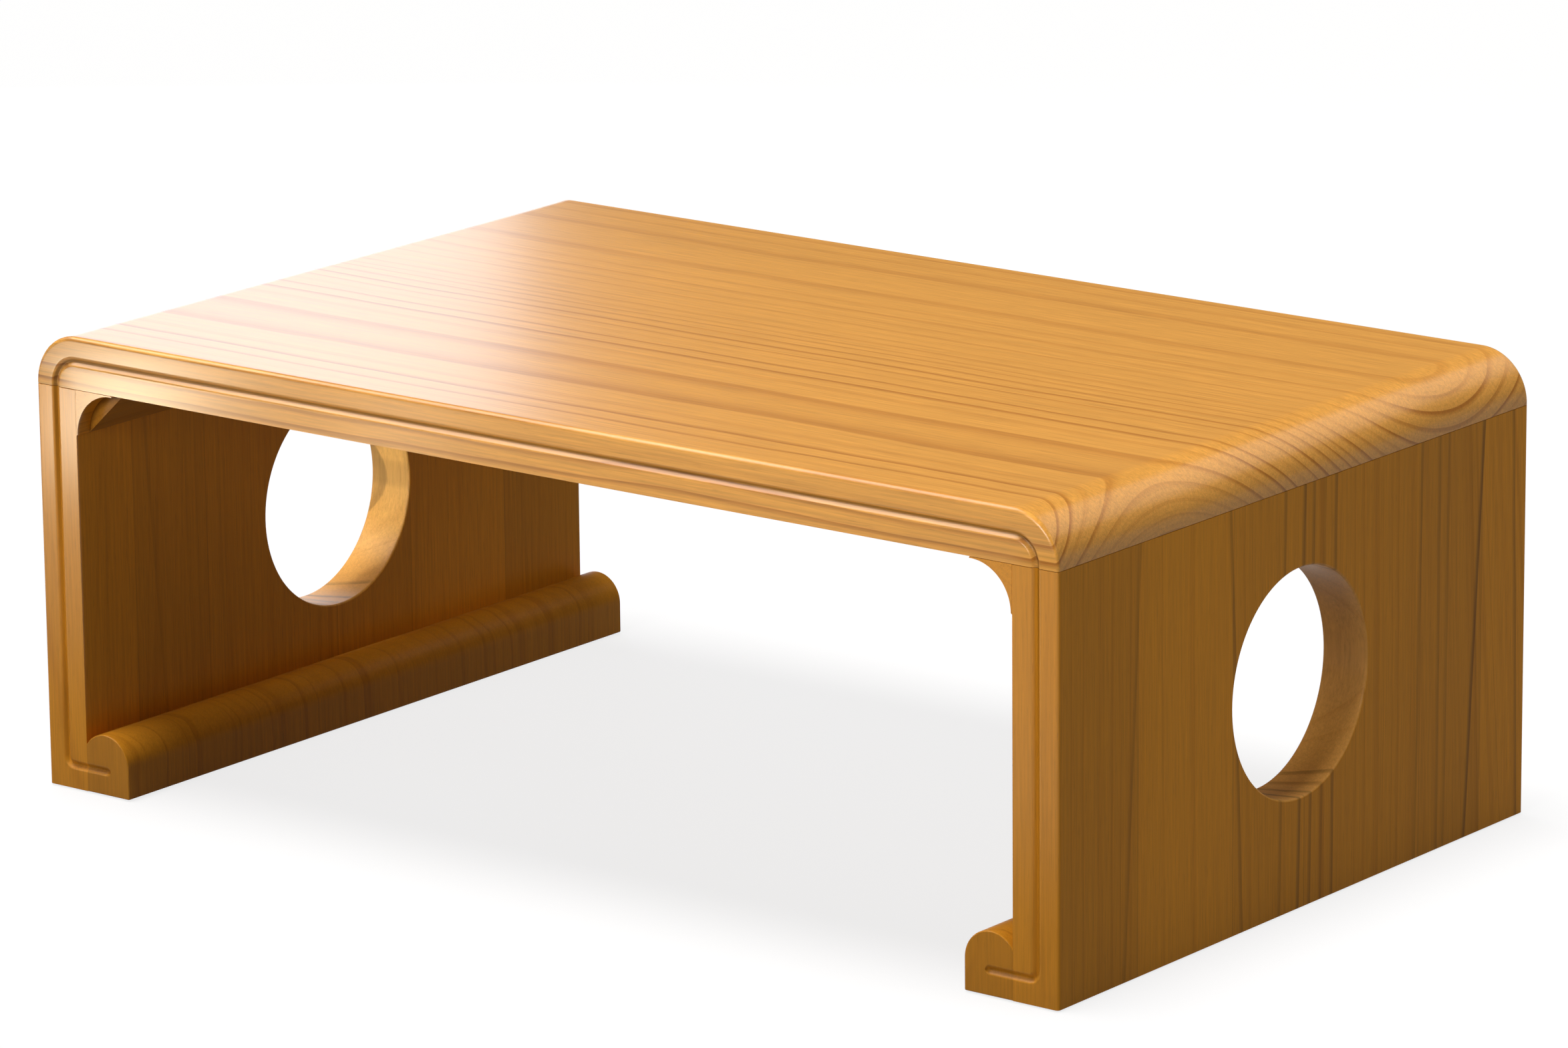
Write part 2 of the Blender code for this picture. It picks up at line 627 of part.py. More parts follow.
TOP_WOOD = new_material("top_wood", (0.62, 0.34, 0.10), 0.30)
PANEL_WOOD = new_material("panel_wood", (0.45, 0.23, 0.06), 0.32)
RAIL_WOOD = new_material("rail_wood", (0.50, 0.27, 0.08), 0.32)
BLOCK_WOOD = new_material("block_wood", (0.52, 0.29, 0.09), 0.40)
DOWEL_WOOD = new_material("dowel_wood", (0.72, 0.52, 0.30), 0.60)
STEEL = new_material("hinge_steel", (0.58, 0.58, 0.57), 0.30, 1.0)
SCREW_STEEL = new_material("screw_steel", (0.66, 0.65, 0.62), 0.35, 1.0)
MAGNET = new_material("magnet_plating", (0.70, 0.71, 0.72), 0.20, 1.0)
FELT = new_material("felt", (0.16, 0.12, 0.09), 0.95)

COUNTERSINK = countersink_mesh()
PILOT = pilot_mesh()
SCREW = screw_mesh()
PIN = pin_mesh()
STRIKE = strike_mesh()
TOP_LEAF = leaf_mesh("top_leaf", range(0, KNUCKLES, 2))
LEG_LEAF = leaf_mesh("leg_leaf", range(1, KNUCKLES, 2))

TABLE_TOP = make_top()
for side_name, side_turn in (("left", 0.0), ("right", math.pi)):
    make_side(side_name, side_turn, TABLE_TOP)
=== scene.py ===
"""Looks of the folding low table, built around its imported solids. Metres, +Z up, the front faces -Y."""

import json
import math

import bmesh
import bpy
from mathutils import Matrix, Vector


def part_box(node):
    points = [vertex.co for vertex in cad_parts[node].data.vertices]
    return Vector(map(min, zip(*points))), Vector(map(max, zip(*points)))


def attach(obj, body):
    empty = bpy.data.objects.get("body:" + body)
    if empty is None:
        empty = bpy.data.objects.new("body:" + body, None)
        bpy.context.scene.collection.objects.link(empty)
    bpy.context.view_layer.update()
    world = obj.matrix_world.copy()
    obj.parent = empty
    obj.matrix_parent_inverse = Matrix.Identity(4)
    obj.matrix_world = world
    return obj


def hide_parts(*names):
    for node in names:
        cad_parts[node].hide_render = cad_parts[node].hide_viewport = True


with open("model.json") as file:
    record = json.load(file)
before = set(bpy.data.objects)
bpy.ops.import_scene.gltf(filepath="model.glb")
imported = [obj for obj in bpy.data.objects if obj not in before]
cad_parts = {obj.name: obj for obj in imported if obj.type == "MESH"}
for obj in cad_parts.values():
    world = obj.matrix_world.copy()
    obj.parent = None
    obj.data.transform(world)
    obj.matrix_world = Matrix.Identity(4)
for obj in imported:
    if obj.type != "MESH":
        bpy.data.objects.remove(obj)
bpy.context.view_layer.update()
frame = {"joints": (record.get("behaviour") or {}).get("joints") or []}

# Camera: a long lens to the right of the table's front, a little above its top.
# The aim, turn and lens are the photograph's own, so the render lies over it.
CAMERA_AZIMUTH = math.radians(37.92)
CAMERA_ELEVATION = math.radians(14.61)
CAMERA_ROLL = math.radians(-0.56)
CAMERA_DISTANCE = 4.998
CAMERA_AIM = Vector((0.0058, 0.0, 0.1819))
CAMERA_LENS = 181.7
CAMERA_SENSOR = 36.0
UP = Vector((0, 0, 1))


def put(name, data):
    """A new object in the scene."""
    made = bpy.data.objects.new(name, data)
    bpy.context.scene.collection.objects.link(made)
    return made


camera_back = Vector(
    (
        math.sin(CAMERA_AZIMUTH) * math.cos(CAMERA_ELEVATION),
        -math.cos(CAMERA_AZIMUTH) * math.cos(CAMERA_ELEVATION),
        math.sin(CAMERA_ELEVATION),
    )
)
camera_right = UP.cross(camera_back).normalized()
camera_up = camera_back.cross(camera_right)
camera_turn = Matrix((camera_right, camera_up, camera_back)).transposed()
camera_turn = camera_turn @ Matrix.Rotation(CAMERA_ROLL, 3, "Z")
camera = put("camera", bpy.data.cameras.new("camera"))
camera.data.sensor_width = CAMERA_SENSOR
camera.data.lens = CAMERA_LENS
camera.matrix_world = Matrix.Translation(CAMERA_AIM + camera_back * CAMERA_DISTANCE) @ camera_turn.to_4x4()
bpy.context.scene.camera = camera
bpy.context.scene.view_settings.view_transform = "Standard"

# Floor: a plain pale studio floor that runs out past every view.
# It reads as near white, and the table's soft shadow stays on it.
FLOOR_RADIUS = 60.0
FLOOR_SIDES = 64
FLOOR_TONE = (0.17, 0.167, 0.164, 1.0)
FLOOR_GLOW = (0.79, 0.79, 0.79, 1.0)


class Wire:
    """One output in a finish's node tree. Arithmetic on it adds Math nodes, so shader sums read as sums."""

    def __init__(self, finish, socket):
        self.finish = finish
        self.socket = socket

    def beside(self, name):
        """Another output of the same node."""
        return Wire(self.finish, self.socket.node.outputs[name])

    def maths(self, operation, *values):
        return self.finish.node("ShaderNodeMath", {"operation": operation}, dict(enumerate(values)))

    def __add__(self, other):
        return self.maths("ADD", self, other)

    def __radd__(self, other):
        return self.maths("ADD", other, self)

    def __sub__(self, other):
        return self.maths("SUBTRACT", self, other)

    def __rsub__(self, other):
        return self.maths("SUBTRACT", other, self)

    def __mul__(self, other):
        return self.maths("MULTIPLY", self, other)

    def __rmul__(self, other):
        return self.maths("MULTIPLY", other, self)

    def __truediv__(self, other):
        return self.maths("DIVIDE", self, other)

    def __abs__(self):
        return self.maths("ABSOLUTE", self)


class Finish:
    """A procedural material. node() adds a node by its kind, its settings, and what its sockets hold."""

    def __init__(self, name):
        self.material = bpy.data.materials.new(name)
        self.material.use_nodes = True
        self.tree = self.material.node_tree
        self.tree.nodes.clear()

    def node(self, kind, settings=None, sockets=None, output=0):
        made = self.tree.nodes.new(kind)
        for name, value in (settings or {}).items():
            setattr(made, name, value)
        for name, value in (sockets or {}).items():
            if isinstance(value, Wire):
                self.tree.links.new(value.socket, made.inputs[name])
            else:
                made.inputs[name].default_value = value
        return Wire(self, made.outputs[output]) if made.outputs else None


def as_mesh(name, shape):
    """A mesh from a bmesh, which is used up."""
    mesh = bpy.data.meshes.new(name)
    shape.to_mesh(mesh)
    shape.free()
    return mesh


floor_finish = Finish("floor")
light_path = floor_finish.node("ShaderNodeLightPath", output="Is Camera Ray")
seen_ray = light_path.maths("MAXIMUM", light_path, light_path.beside("Is Glossy Ray"))
seen_ray = light_path.maths("MAXIMUM", seen_ray, light_path.beside("Is Transmission Ray"))
floor_matt = floor_finish.node("ShaderNodeBsdfDiffuse", None, {"Color": FLOOR_TONE})
floor_light = floor_finish.node("ShaderNodeEmission", None, {"Color": FLOOR_GLOW})
floor_pale = floor_finish.node("ShaderNodeAddShader", None, {0: floor_matt, 1: floor_light})
floor_shader = floor_finish.node("ShaderNodeMixShader", None, {0: seen_ray, 1: floor_matt, 2: floor_pale})
floor_finish.node("ShaderNodeOutputMaterial", None, {"Surface": floor_shader})

floor_shape = bmesh.new()
bmesh.ops.create_circle(floor_shape, cap_ends=True, segments=FLOOR_SIDES, radius=FLOOR_RADIUS)
floor_mesh = as_mesh("floor", floor_shape)
floor_mesh.materials.append(floor_finish.material)
floor = put("floor", floor_mesh)

# Light: a broad soft key overhead, a strip in front, a fill on the right, and two pale windows behind, whose
# sheen lies on the left of the top and on its right end. Two low glints and a high lip light show only in the
# gloss of the front edges and the carved line, and one narrow spot shines into the left hole.
KEY_FROM = Vector((-0.10, -0.06, 0.99))
KEY_DISTANCE = 3
KEY_STRENGTH = 3.6
KEY_WIDTH = math.radians(24)
STRIP_PLACE = Vector((0.02, -1.50, 0.75))
STRIP_AIM = Vector((0.04, -0.25, 0.36))
STRIP_SIZE = (1.20, 0.45)  # width and height
STRIP_SPREAD = math.radians(44)
STRIP_POWER = 1.72
FILL_PLACE = Vector((1.75, 0.35, 1.35))
FILL_AIM = Vector((0.40, 0.0, 0.14))
FILL_WIDTH = 1.20
FILL_POWER = 4.55
WINDOW_TINT = (0.68, 0.83, 1.0)
WINDOW_DISTANCE = 2.2
WINDOW_NEAR_SIDE = -0.24
WINDOW_WIDTH = 1.10
WINDOW_HEIGHT = 1.30
WINDOW_POWER = 11.0
END_WINDOW_TINT = (0.90, 0.95, 1.0)
END_WINDOW_PLACE = Vector((0.80, 1.53, 1.43))
END_WINDOW_AIM = Vector((0.38, 0.0, 0.29))
END_WINDOW_SIZE = (1.25, 0.80)
END_WINDOW_POWER = 3.6
GLINT_TINT = (1.0, 0.90, 0.70)
GLINTS = (
    (Vector((-0.675, -0.63, 0.137)), Vector((-0.345, -0.25, 0.262)), 0.07, 0.68),
    (Vector((-0.46, -0.67, 0.14)), Vector((-0.10, -0.25, 0.279)), 0.06, 0.12),
)  # place, aim, width and power of each
SPOT_PLACE = Vector((-0.44, -0.20, 0.16))
SPOT_AIM = Vector((-0.384, 0.06, 0.14))
SPOT_SIZE = (0.02, 0.13)
SPOT_SPREAD = math.radians(13)
SPOT_POWER = 0.016
SPOT_TINT = (0.80, 0.92, 1.0)
LIP_PLACE = Vector((-0.81, -0.76, 1.445))
LIP_AIM = Vector((0.0, -0.25, 0.29))
LIP_WIDTH = 1.3
LIP_POWER = 34.0
WORLD_TONE = (0.08, 0.08, 0.08, 1.0)


def add_lamp(name, place, aim, power, width, height=None, spread=math.pi, tint=(1, 1, 1), kind="AREA"):
    """An area lamp or a sun that faces its aim. A sun's width is an angle."""
    light = bpy.data.lights.new(name, kind)
    light.energy = power
    light.color = tint
    if kind == "SUN":
        light.angle = width
    else:
        light.shape = "RECTANGLE"
        light.size = width
        light.size_y = height or width
        light.spread = spread
    lamp = put(name, light)
    lamp.location = place
    lamp.visible_camera = False
    lamp.rotation_mode = "QUATERNION"
    lamp.rotation_quaternion = (aim - place).to_track_quat("-Z", "Y")
    return lamp


window_ray = Vector((-camera_back.x, -camera_back.y, camera_back.z))
window_side = camera_right * (WINDOW_NEAR_SIDE - WINDOW_WIDTH / 2)
window_place = CAMERA_AIM + window_ray * WINDOW_DISTANCE + window_side
window_aim = window_place - window_ray
key = add_lamp("key", KEY_FROM * KEY_DISTANCE, Vector((0, 0, 0)), KEY_STRENGTH, KEY_WIDTH, kind="SUN")
key.visible_glossy = False
add_lamp("strip", STRIP_PLACE, STRIP_AIM, STRIP_POWER, *STRIP_SIZE, STRIP_SPREAD)
add_lamp("fill", FILL_PLACE, FILL_AIM, FILL_POWER, FILL_WIDTH)
add_lamp("window", window_place, window_aim, WINDOW_POWER, WINDOW_WIDTH, WINDOW_HEIGHT, tint=WINDOW_TINT)
add_lamp(
    "end_window", END_WINDOW_PLACE, END_WINDOW_AIM, END_WINDOW_POWER, *END_WINDOW_SIZE, tint=END_WINDOW_TINT
)
for place, aim, width, power in GLINTS:
    glint = add_lamp("glint", place, aim, power, width, tint=GLINT_TINT)
    glint.visible_diffuse = False
lip_light = add_lamp("lip_light", LIP_PLACE, LIP_AIM, LIP_POWER, LIP_WIDTH)
lip_light.visible_diffuse = False
add_lamp("spot", SPOT_PLACE, SPOT_AIM, SPOT_POWER, *SPOT_SIZE, SPOT_SPREAD, SPOT_TINT)
world = bpy.data.worlds.new("studio")
world.use_nodes = True
world.node_tree.nodes["Background"].inputs["Color"].default_value = WORLD_TONE
bpy.context.scene.world = world

# Top panel: one thick slab of honey-coloured wood under clear lacquer, its grain along the table.
# Its ends are rounded right over, its long upper edges are nosed, and a line is carved along both long faces.
# Magnets and hinge screws are let into its underside.
top_low, top_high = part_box("top_panel")
half_length = top_high.x
half_depth = top_high.y
END_LAND = 0.001
END_ROUND = top_high.z - top_low.z - END_LAND
END_STEPS = 28
NOSING = 0.0030
SEAM_NOSING = 0.0022  # the nosing thins down to this where the rounded end meets the side panel
NOSING_STEPS = 7
GROOVE_INSET = 0.016
GROOVE_HALF_WIDTH = 0.0028
GROOVE_DEPTH = 0.0026
GROOVE_REACH = 0.0036  # where its softened lips end
GROOVE_LIP = 0.0003
GROOVE_BOTTOM = 0.0005  # how far its bottom is rounded
GROOVE_STEPS = 22
GROOVE_PAINTED_SHADE = 0.50  # how much darker the carved line is painted, as painted shade of its walls
SHADE_FULL = 0.0006  # how far from its middle the painted shade is full, and where it ends
SHADE_END = 0.0016
SHADE_FACE = (0.0032, 0.0028)  # how deep under the face it begins and is full
SHADE_DULL = 0.80  # how much of the lacquer's gloss it takes away
EDGE_SHADE_SHIFT = 0.0002  # how far down from the line's middle its painted shade lies along the top
LEG_SHADE_SHIFT = -0.0010  # and out from it along the legs
SHADE_TURN = (0.004, 0.024)  # the heights over the seam between which it goes from one to the other
INNER_LINE = 0.023  # where the flat of the long face begins
LOWER_EDGE = 0.0009
EDGE_STEPS = 3
FIT = 0.0002  # room round a piece set into a hole
OVERCUT = 0.002  # how far a cutter runs past the face it opens
PILOT_RADIUS = 0.0017
BORE_SIDES = 48
PILOT_SIDES = 16
SHARP = math.radians(32)
HONEY = (0.67, 0.305, 0.052, 1.0)
AMBER = (0.40, 0.140, 0.014, 1.0)
RING_WAVE = 0.082  # how far the rings rise and fall across the slab
RING_WAVE_LENGTH = 0.610
RING_CREST = -0.137
RING_PITCH = 0.0093
RING_START = 0.0790
RING_PEAK = 0.92  # where in a ring its line is darkest
TOP_SWAY = (0.022, (1.4, 3.0, 3.0))  # how far the grain sways, and how often along each axis
TOP_TREMBLE = (0.006, (7.0, 16.0, 16.0))
TOP_UNEVEN = (0.9, 38.0)  # how many rings it strays, and how often
END_ZONE = (0.362, 0.386)  # how far out a rounded end begins, and is full
SEAM_ZONE = (0.002, 0.016)  # the heights over the seam between which its wear goes
SEAM_DULL = 0.65  # how much of the gloss is rubbed off the rounded ends next to the seam
FACE_RIM = (0.0016, 0.0004)  # how deep under the long faces their own finish begins and is full
FACE_PAINTED_LIGHT = 0.08  # how much paler the long faces are painted, as painted light
FRONT_CONTRAST = 0.85  # how dark the rings' lines are in front, how much that fades, and where
CONTRAST_FADE = 0.45
CONTRAST_ZONE = (-0.02, 0.05)
END_CONTRAST = 1.20  # and on the end grain, between these heights over the seam
END_GRAIN_ZONE = (0.012, 0.030)
ALONG_X, ALONG_Y, ALONG_Z = range(3)  # the way the grain runs
TOP_GRAIN = 0.50  # how strongly fibres and streaks show
TOP_COAT = 0.80
TOP_GLOSS = (0.24, 0.12)  # roughness of the lacquer, and the shine of the wood under it
RING_LINE = (0.56, 0.93, 0.94, 1.0)  # where in a ring its dark line begins, is full, fades and ends
THIN_LINE = (0.55, 0.85, 0.88, 1.0)
THIN_LINES = 3.37  # thin lines to a ring
THIN_DARK = 0.10
FAINTEST_LINE = 0.20
FIBRES = (11.0, 520.0, 5.0)  # marks to a metre along the grain and across it, and their detail
STREAKS = (28.0, 1150.0, 2.0)
PORES = (70.0, 1900.0, 1.0)
CLOUDS = (1.6, 11.0, 2.0)
PORE_RIM = (0.60, 0.76)
PORE_SHADE = 0.18
CLOUD_SHADE = 0.20
WOOD_ROUGHNESS = 0.42
FIBRE_ROUGHNESS = 0.10
LINE_ROUGHNESS = 0.06
FIBRE_RELIEF = 0.5
PORE_RELIEF = 0.5
LINE_RELIEF = 0.3
WOOD_RELIEF = (0.10, 0.0003)  # strength and depth
ENDS = (("front", -1), ("back", 1))
# A leg's pieces are made for the right, and turned about Z for the left.
SIDES = (("left", math.pi), ("right", 0.0))
NODE_TURN = {side: Matrix.Rotation(turn, 4, "Z") for side, turn in SIDES}
CORNERS = [(f"{side}_{end}", side, turn) for side, turn in SIDES for end, toward in ENDS]


def groove_section():
    """The carved line in section: (distance from its middle, depth) from one lip to the other."""
    section = []
    for step in range(GROOVE_STEPS + 1):
        across = GROOVE_REACH * (2 * step / GROOVE_STEPS - 1)
        hollow = GROOVE_DEPTH * (1 - math.hypot(across, GROOVE_BOTTOM) / GROOVE_HALF_WIDTH)
        depth = (hollow + math.hypot(hollow, GROOVE_LIP)) / 2
        section.append((across, 0.0 if step in (0, GROOVE_STEPS) else depth))
    return section


def arc(centre, radius, start, end, steps):
    """Points on an arc, with its angles in degrees."""
    points = []
    for step in range(steps + 1):
        angle = math.radians(start + (end - start) * step / steps)
        points.append(Vector((centre[0] + radius * math.cos(angle), centre[1] + radius * math.sin(angle))))
    return points


def rod(radius, low, high):
    """The profile of a plain round rod."""
    return [(0, low), (radius, low), (radius, high), (0, high)]


def turned(profile, sides, place=Matrix.Identity(4), ring=False):
    """A profile of (radius, level) points turned about Z. A ring's profile closes on itself, round a hole."""
    shape = bmesh.new()
    rows = []
    for radius, level in profile:
        row = []
        for number in range(sides if radius else 1):
            angle = 2 * math.pi * number / sides
            row.append(shape.verts.new((radius * math.cos(angle), radius * math.sin(angle), level)))
        rows.append(row)
    if ring:
        rows.append(rows[0])
    for row, following in zip(rows, rows[1:]):
        for number in range(sides):
            after = (number + 1) % sides
            corners = [row[number % len(row)], row[after % len(row)]]
            corners += [following[after % len(following)], following[number % len(following)]]
            shape.faces.new(list(dict.fromkeys(corners)))
    if not ring:
        for row in (rows[0], rows[-1]):
            if len(row) > 1:
                shape.faces.new(row)
    bmesh.ops.recalc_face_normals(shape, faces=shape.faces)
    shape.transform(place)
    return shape


def joined(shapes):
    """One bmesh from several, which are used up."""
    whole = bmesh.new()
    for shape in shapes:
        mesh = as_mesh("shape", shape)
        whole.from_mesh(mesh)
        bpy.data.meshes.remove(mesh)
    return whole


def carved(shape, *cutters):
    """The shape with every cutter taken out of it."""
    blank = put("blank", as_mesh("blank", shape))
    cutter = put("cutter", as_mesh("cutter", joined(cutters)))
    cut = blank.modifiers.new("Carved", "BOOLEAN")
    cut.operation = "DIFFERENCE"
    cut.solver = "EXACT"
    cut.object = cutter
    mesh = bpy.data.meshes.new_from_object(blank.evaluated_get(bpy.context.evaluated_depsgraph_get()))
    result = bmesh.new()
    result.from_mesh(mesh)
    for used in (blank.data, cutter.data, mesh):
        bpy.data.meshes.remove(used)
    return result


def ease(shape, radius, steps, chosen):
    """Rounds over each edge for whose two end points chosen(a, b) holds."""
    edges = [edge for edge in shape.edges if chosen(edge.verts[0].co, edge.verts[1].co)]
    bmesh.ops.bevel(
        shape, geom=edges, offset=radius, segments=steps, profile=0.5, affect="EDGES", clamp_overlap=True
    )


def smooth_step(value, low, high):
    sockets = {"Value": value, "From Min": low, "From Max": high}
    return value.finish.node("ShaderNodeMapRange", {"interpolation_type": "SMOOTHSTEP"}, sockets)


def stretched_noise(point, stretch, detail=2.0):
    """Noise between 0 and 1 whose grain is drawn out by a different amount along each axis."""
    finish = point.finish
    drawn = finish.node("ShaderNodeVectorMath", {"operation": "MULTIPLY"}, {0: point, 1: stretch})
    return finish.node("ShaderNodeTexNoise", None, {"Vector": drawn, "Scale": 1.0, "Detail": detail}, "Fac")


def bar(value, start, full, fade, end):
    """1 from full to fade, and 0 before start and after end."""
    return smooth_step(value, start, full) * (1 - smooth_step(value, fade, end))


def swing(point, reach, stretch):
    """Noise that moves a place to and fro over a reach."""
    return reach * (stretched_noise(point, stretch) - 0.5)


def unevenness(place, reach, scale):
    """Noise along a line, by which rings come closer and go further apart."""
    sockets = {"W": place, "Scale": scale}
    noise = place.finish.node("ShaderNodeTexNoise", {"noise_dimensions": "1D"}, sockets, "Fac")
    return reach * (noise - 0.5)


def drawn_out(point, along, lengthwise, crosswise, detail):
    """Noise that is drawn out along one axis, as marks in the grain are."""
    stretch = tuple(lengthwise if axis == along else crosswise for axis in range(3))
    return stretched_noise(point, stretch, detail)


def mixed(part, first, second):
    """A colour that goes from the first to the second as part goes from 0 to 1."""
    return part.finish.node("ShaderNodeMix", {"data_type": "RGBA"}, {0: part, 6: first, 7: second}, 2)


def place_in(finish):
    """Where a point of the surface lies in its piece, as a vector and as x, y and z."""
    point = finish.node("ShaderNodeTexCoord", output="Object")
    x = finish.node("ShaderNodeSeparateXYZ", None, {0: point}, "X")
    return point, x, x.beside("Y"), x.beside("Z")


def relief(height, strength, depth):
    sockets = {"Strength": strength, "Distance": depth, "Height": height}
    return height.finish.node("ShaderNodeBump", None, sockets)


def surfaced(finish, sockets):
    """Ends a finish with its shader."""
    shader = finish.node("ShaderNodeBsdfPrincipled", None, sockets)
    finish.node("ShaderNodeOutputMaterial", None, {"Surface": shader})


def lacquered(point, along, rings, contrast, grain, tone, colours, coat, gloss):
    """Finishes wood: a dark line to each ring, fibres and pores along the grain, and lacquer over it."""
    finish = point.finish
    since = rings.maths("FRACT", rings)
    year = rings.maths("FLOOR", rings)
    weight = finish.node("ShaderNodeTexWhiteNoise", {"noise_dimensions": "1D"}, {"W": year}, "Value")
    thin = rings.maths("FRACT", rings * THIN_LINES)
    line = bar(since, *RING_LINE) * (FAINTEST_LINE + (1 - FAINTEST_LINE) * weight)
    dark = (line + THIN_DARK * bar(thin, *THIN_LINE)) * contrast
    fibres = drawn_out(point, along, *FIBRES)
    streaks = drawn_out(point, along, *STREAKS)
    pores = smooth_step(drawn_out(point, along, *PORES), *PORE_RIM)
    clouds = drawn_out(point, along, *CLOUDS)
    shade = 1 - CLOUD_SHADE / 2 + CLOUD_SHADE * clouds + grain * (fibres - 0.5) + grain * (streaks - 0.5)
    shade = shade * (1 - PORE_SHADE * pores) * tone
    wood = mixed(dark.maths("MINIMUM", dark, 1.0), *colours)
    height = fibres * FIBRE_RELIEF - pores * PORE_RELIEF - dark * LINE_RELIEF
    sockets = {
        "Base Color": finish.node("ShaderNodeVectorMath", {"operation": "SCALE"}, {0: wood, "Scale": shade}),
        "Roughness": WOOD_ROUGHNESS + FIBRE_ROUGHNESS * (fibres - 0.5) + LINE_ROUGHNESS * dark,
        "Specular IOR Level": gloss[1],
        "Coat Weight": coat,
        "Coat Roughness": gloss[0],
        "Normal": relief(height, *WOOD_RELIEF),
    }
    surfaced(finish, sockets)


def near_face(y, start, full):
    """1 at the front and back faces, and 0 deeper under them than start."""
    return smooth_step(abs(y), half_depth - start, half_depth - full)


def painted_line_shade(y, inset, middle):
    """How far a place lies in the carved line's painted shade: 1 in the middle of it, 0 outside it."""
    across = inset - GROOVE_INSET - middle
    return near_face(y, *SHADE_FACE) * (1 - smooth_step(abs(across), SHADE_FULL, SHADE_END))


def new_mesh(name, shape, finish):
    """A mesh from a bmesh, in one finish, its round faces shaded smoothly."""
    mesh = as_mesh(name, shape)
    mesh.materials.append(finish.material)
    mesh.shade_smooth()
    mesh.set_sharp_from_angle(angle=SHARP)
    return mesh


def add_piece(name, mesh, place, body, node):
    """Puts a piece in its place, lets it move with a body, and stand for one of the solids."""
    piece = put(name, mesh)
    piece.matrix_world = place
    even = piece.modifiers.new("Even shading", "WEIGHTED_NORMAL")
    even.keep_sharp = True
    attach(piece, body)
    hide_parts(node)


def add_pair(name, mesh, node):
    """Puts a piece that was made for the right leg on both legs."""
    for side, turn in SIDES:
        add_piece(f"{side}_{name}", mesh, NODE_TURN[side], f"{side}_leg", f"{side}_{node}")


def middle_of(node):
    low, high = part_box(node)
    return (low + high) / 2


def size_of(node):
    low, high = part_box(node)
    return high - low


def bored(node, level, radius, depth, sides):
    """A cutter for the hole that a solid sits in, up from a level."""
    spot = middle_of(node)
    return turned(rod(radius, -OVERCUT, depth), sides, Matrix.Translation((spot.x, spot.y, level)))


round_level = top_high.z - END_ROUND
top_path = [(Vector((-half_length, top_low.z)), Vector((1, 0)), SEAM_NOSING)]
for side, start, end in ((-1, 180, 90), (1, 90, 0)):
    centre = Vector((side * (half_length - END_ROUND), round_level))
    for place in arc(centre, END_ROUND, start, end, END_STEPS):
        rise = (place.y - round_level) / END_ROUND
        rise = rise * rise * (3 - 2 * rise)
        nosing = SEAM_NOSING + (NOSING - SEAM_NOSING) * rise
        top_path.append((place, (centre - place).normalized(), nosing))
top_path.append((Vector((half_length, top_low.z)), Vector((-1, 0)), SEAM_NOSING))

top_shape = bmesh.new()
top_rows = []
for place, inward, nosing in top_path:
    profile = [(INNER_LINE, 0.0)]
    profile += [(GROOVE_INSET - across, depth) for across, depth in groove_section()]
    profile += [(nosing - spot.x, nosing - spot.y) for spot in arc((0, 0), nosing, 90, 0, NOSING_STEPS)]
    row = []
    for face in (-1, 1):
        for inset, depth in profile[::-face]:
            spot = place + inward * inset
            row.append(top_shape.verts.new((spot.x, face * (half_depth - depth), spot.y)))
    top_rows.append(row)
for row, following in zip(top_rows, top_rows[1:]):
    for number in range(len(row) - 1):
        top_shape.faces.new((row[number], row[number + 1], following[number + 1], following[number]))
top_shape.faces.new([row[0] for row in top_rows])
top_shape.faces.new([row[-1] for row in reversed(top_rows)])
top_shape.faces.new(top_rows[-1] + top_rows[0][::-1])
top_shape.normal_update()
bmesh.ops.recalc_face_normals(top_shape, faces=top_shape.faces)
ease(top_shape, LOWER_EDGE, EDGE_STEPS, lambda a, b: (a - b).length > half_length and a.z < round_level)

top_holes = []
for corner, side, turn in CORNERS:
    magnet = f"{corner}_catch_magnet"
    magnet_size = size_of(magnet)
    top_holes.append(bored(magnet, top_low.z, magnet_size.x / 2 + FIT, magnet_size.z + FIT, BORE_SIDES))
    for number in (1, 2):
        screw = f"{corner}_hinge_top_screw_{number}"
        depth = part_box(screw)[1].z - top_low.z + FIT
        top_holes.append(bored(screw, top_low.z, PILOT_RADIUS, depth, PILOT_SIDES))
top_shape = carved(top_shape, *top_holes)

top_finish = Finish("top_wood")
top_point, top_x, top_y, top_z = place_in(top_finish)
sway = swing(top_point, *TOP_SWAY)
tremble = swing(top_point, *TOP_TREMBLE)
across = (top_y + sway + tremble - RING_CREST) * (2 * math.pi / RING_WAVE_LENGTH)
level = top_z - top_high.z - RING_WAVE * across.maths("COSINE", across)
top_rings = (level + RING_START) / RING_PITCH + RING_PEAK + unevenness(level, *TOP_UNEVEN)
out = abs(top_x)
toward_end = smooth_step(out, *END_ZONE)
past = out.maths("MAXIMUM", out - (half_length - END_ROUND), 0.0)
above = out.maths("MAXIMUM", top_z - round_level, 0.0)
from_centre = past * past + above * above
top_inset = END_ROUND - from_centre.maths("SQRT", from_centre)
# The carved line's walls get painted shade, darker and with less gloss, set where its shade falls.
shade_shift = LEG_SHADE_SHIFT + (EDGE_SHADE_SHIFT - LEG_SHADE_SHIFT) * smooth_step(above, *SHADE_TURN)
top_line_shade = painted_line_shade(top_y, top_inset, shade_shift)
by_seam = toward_end * (1 - smooth_step(above, *SEAM_ZONE))
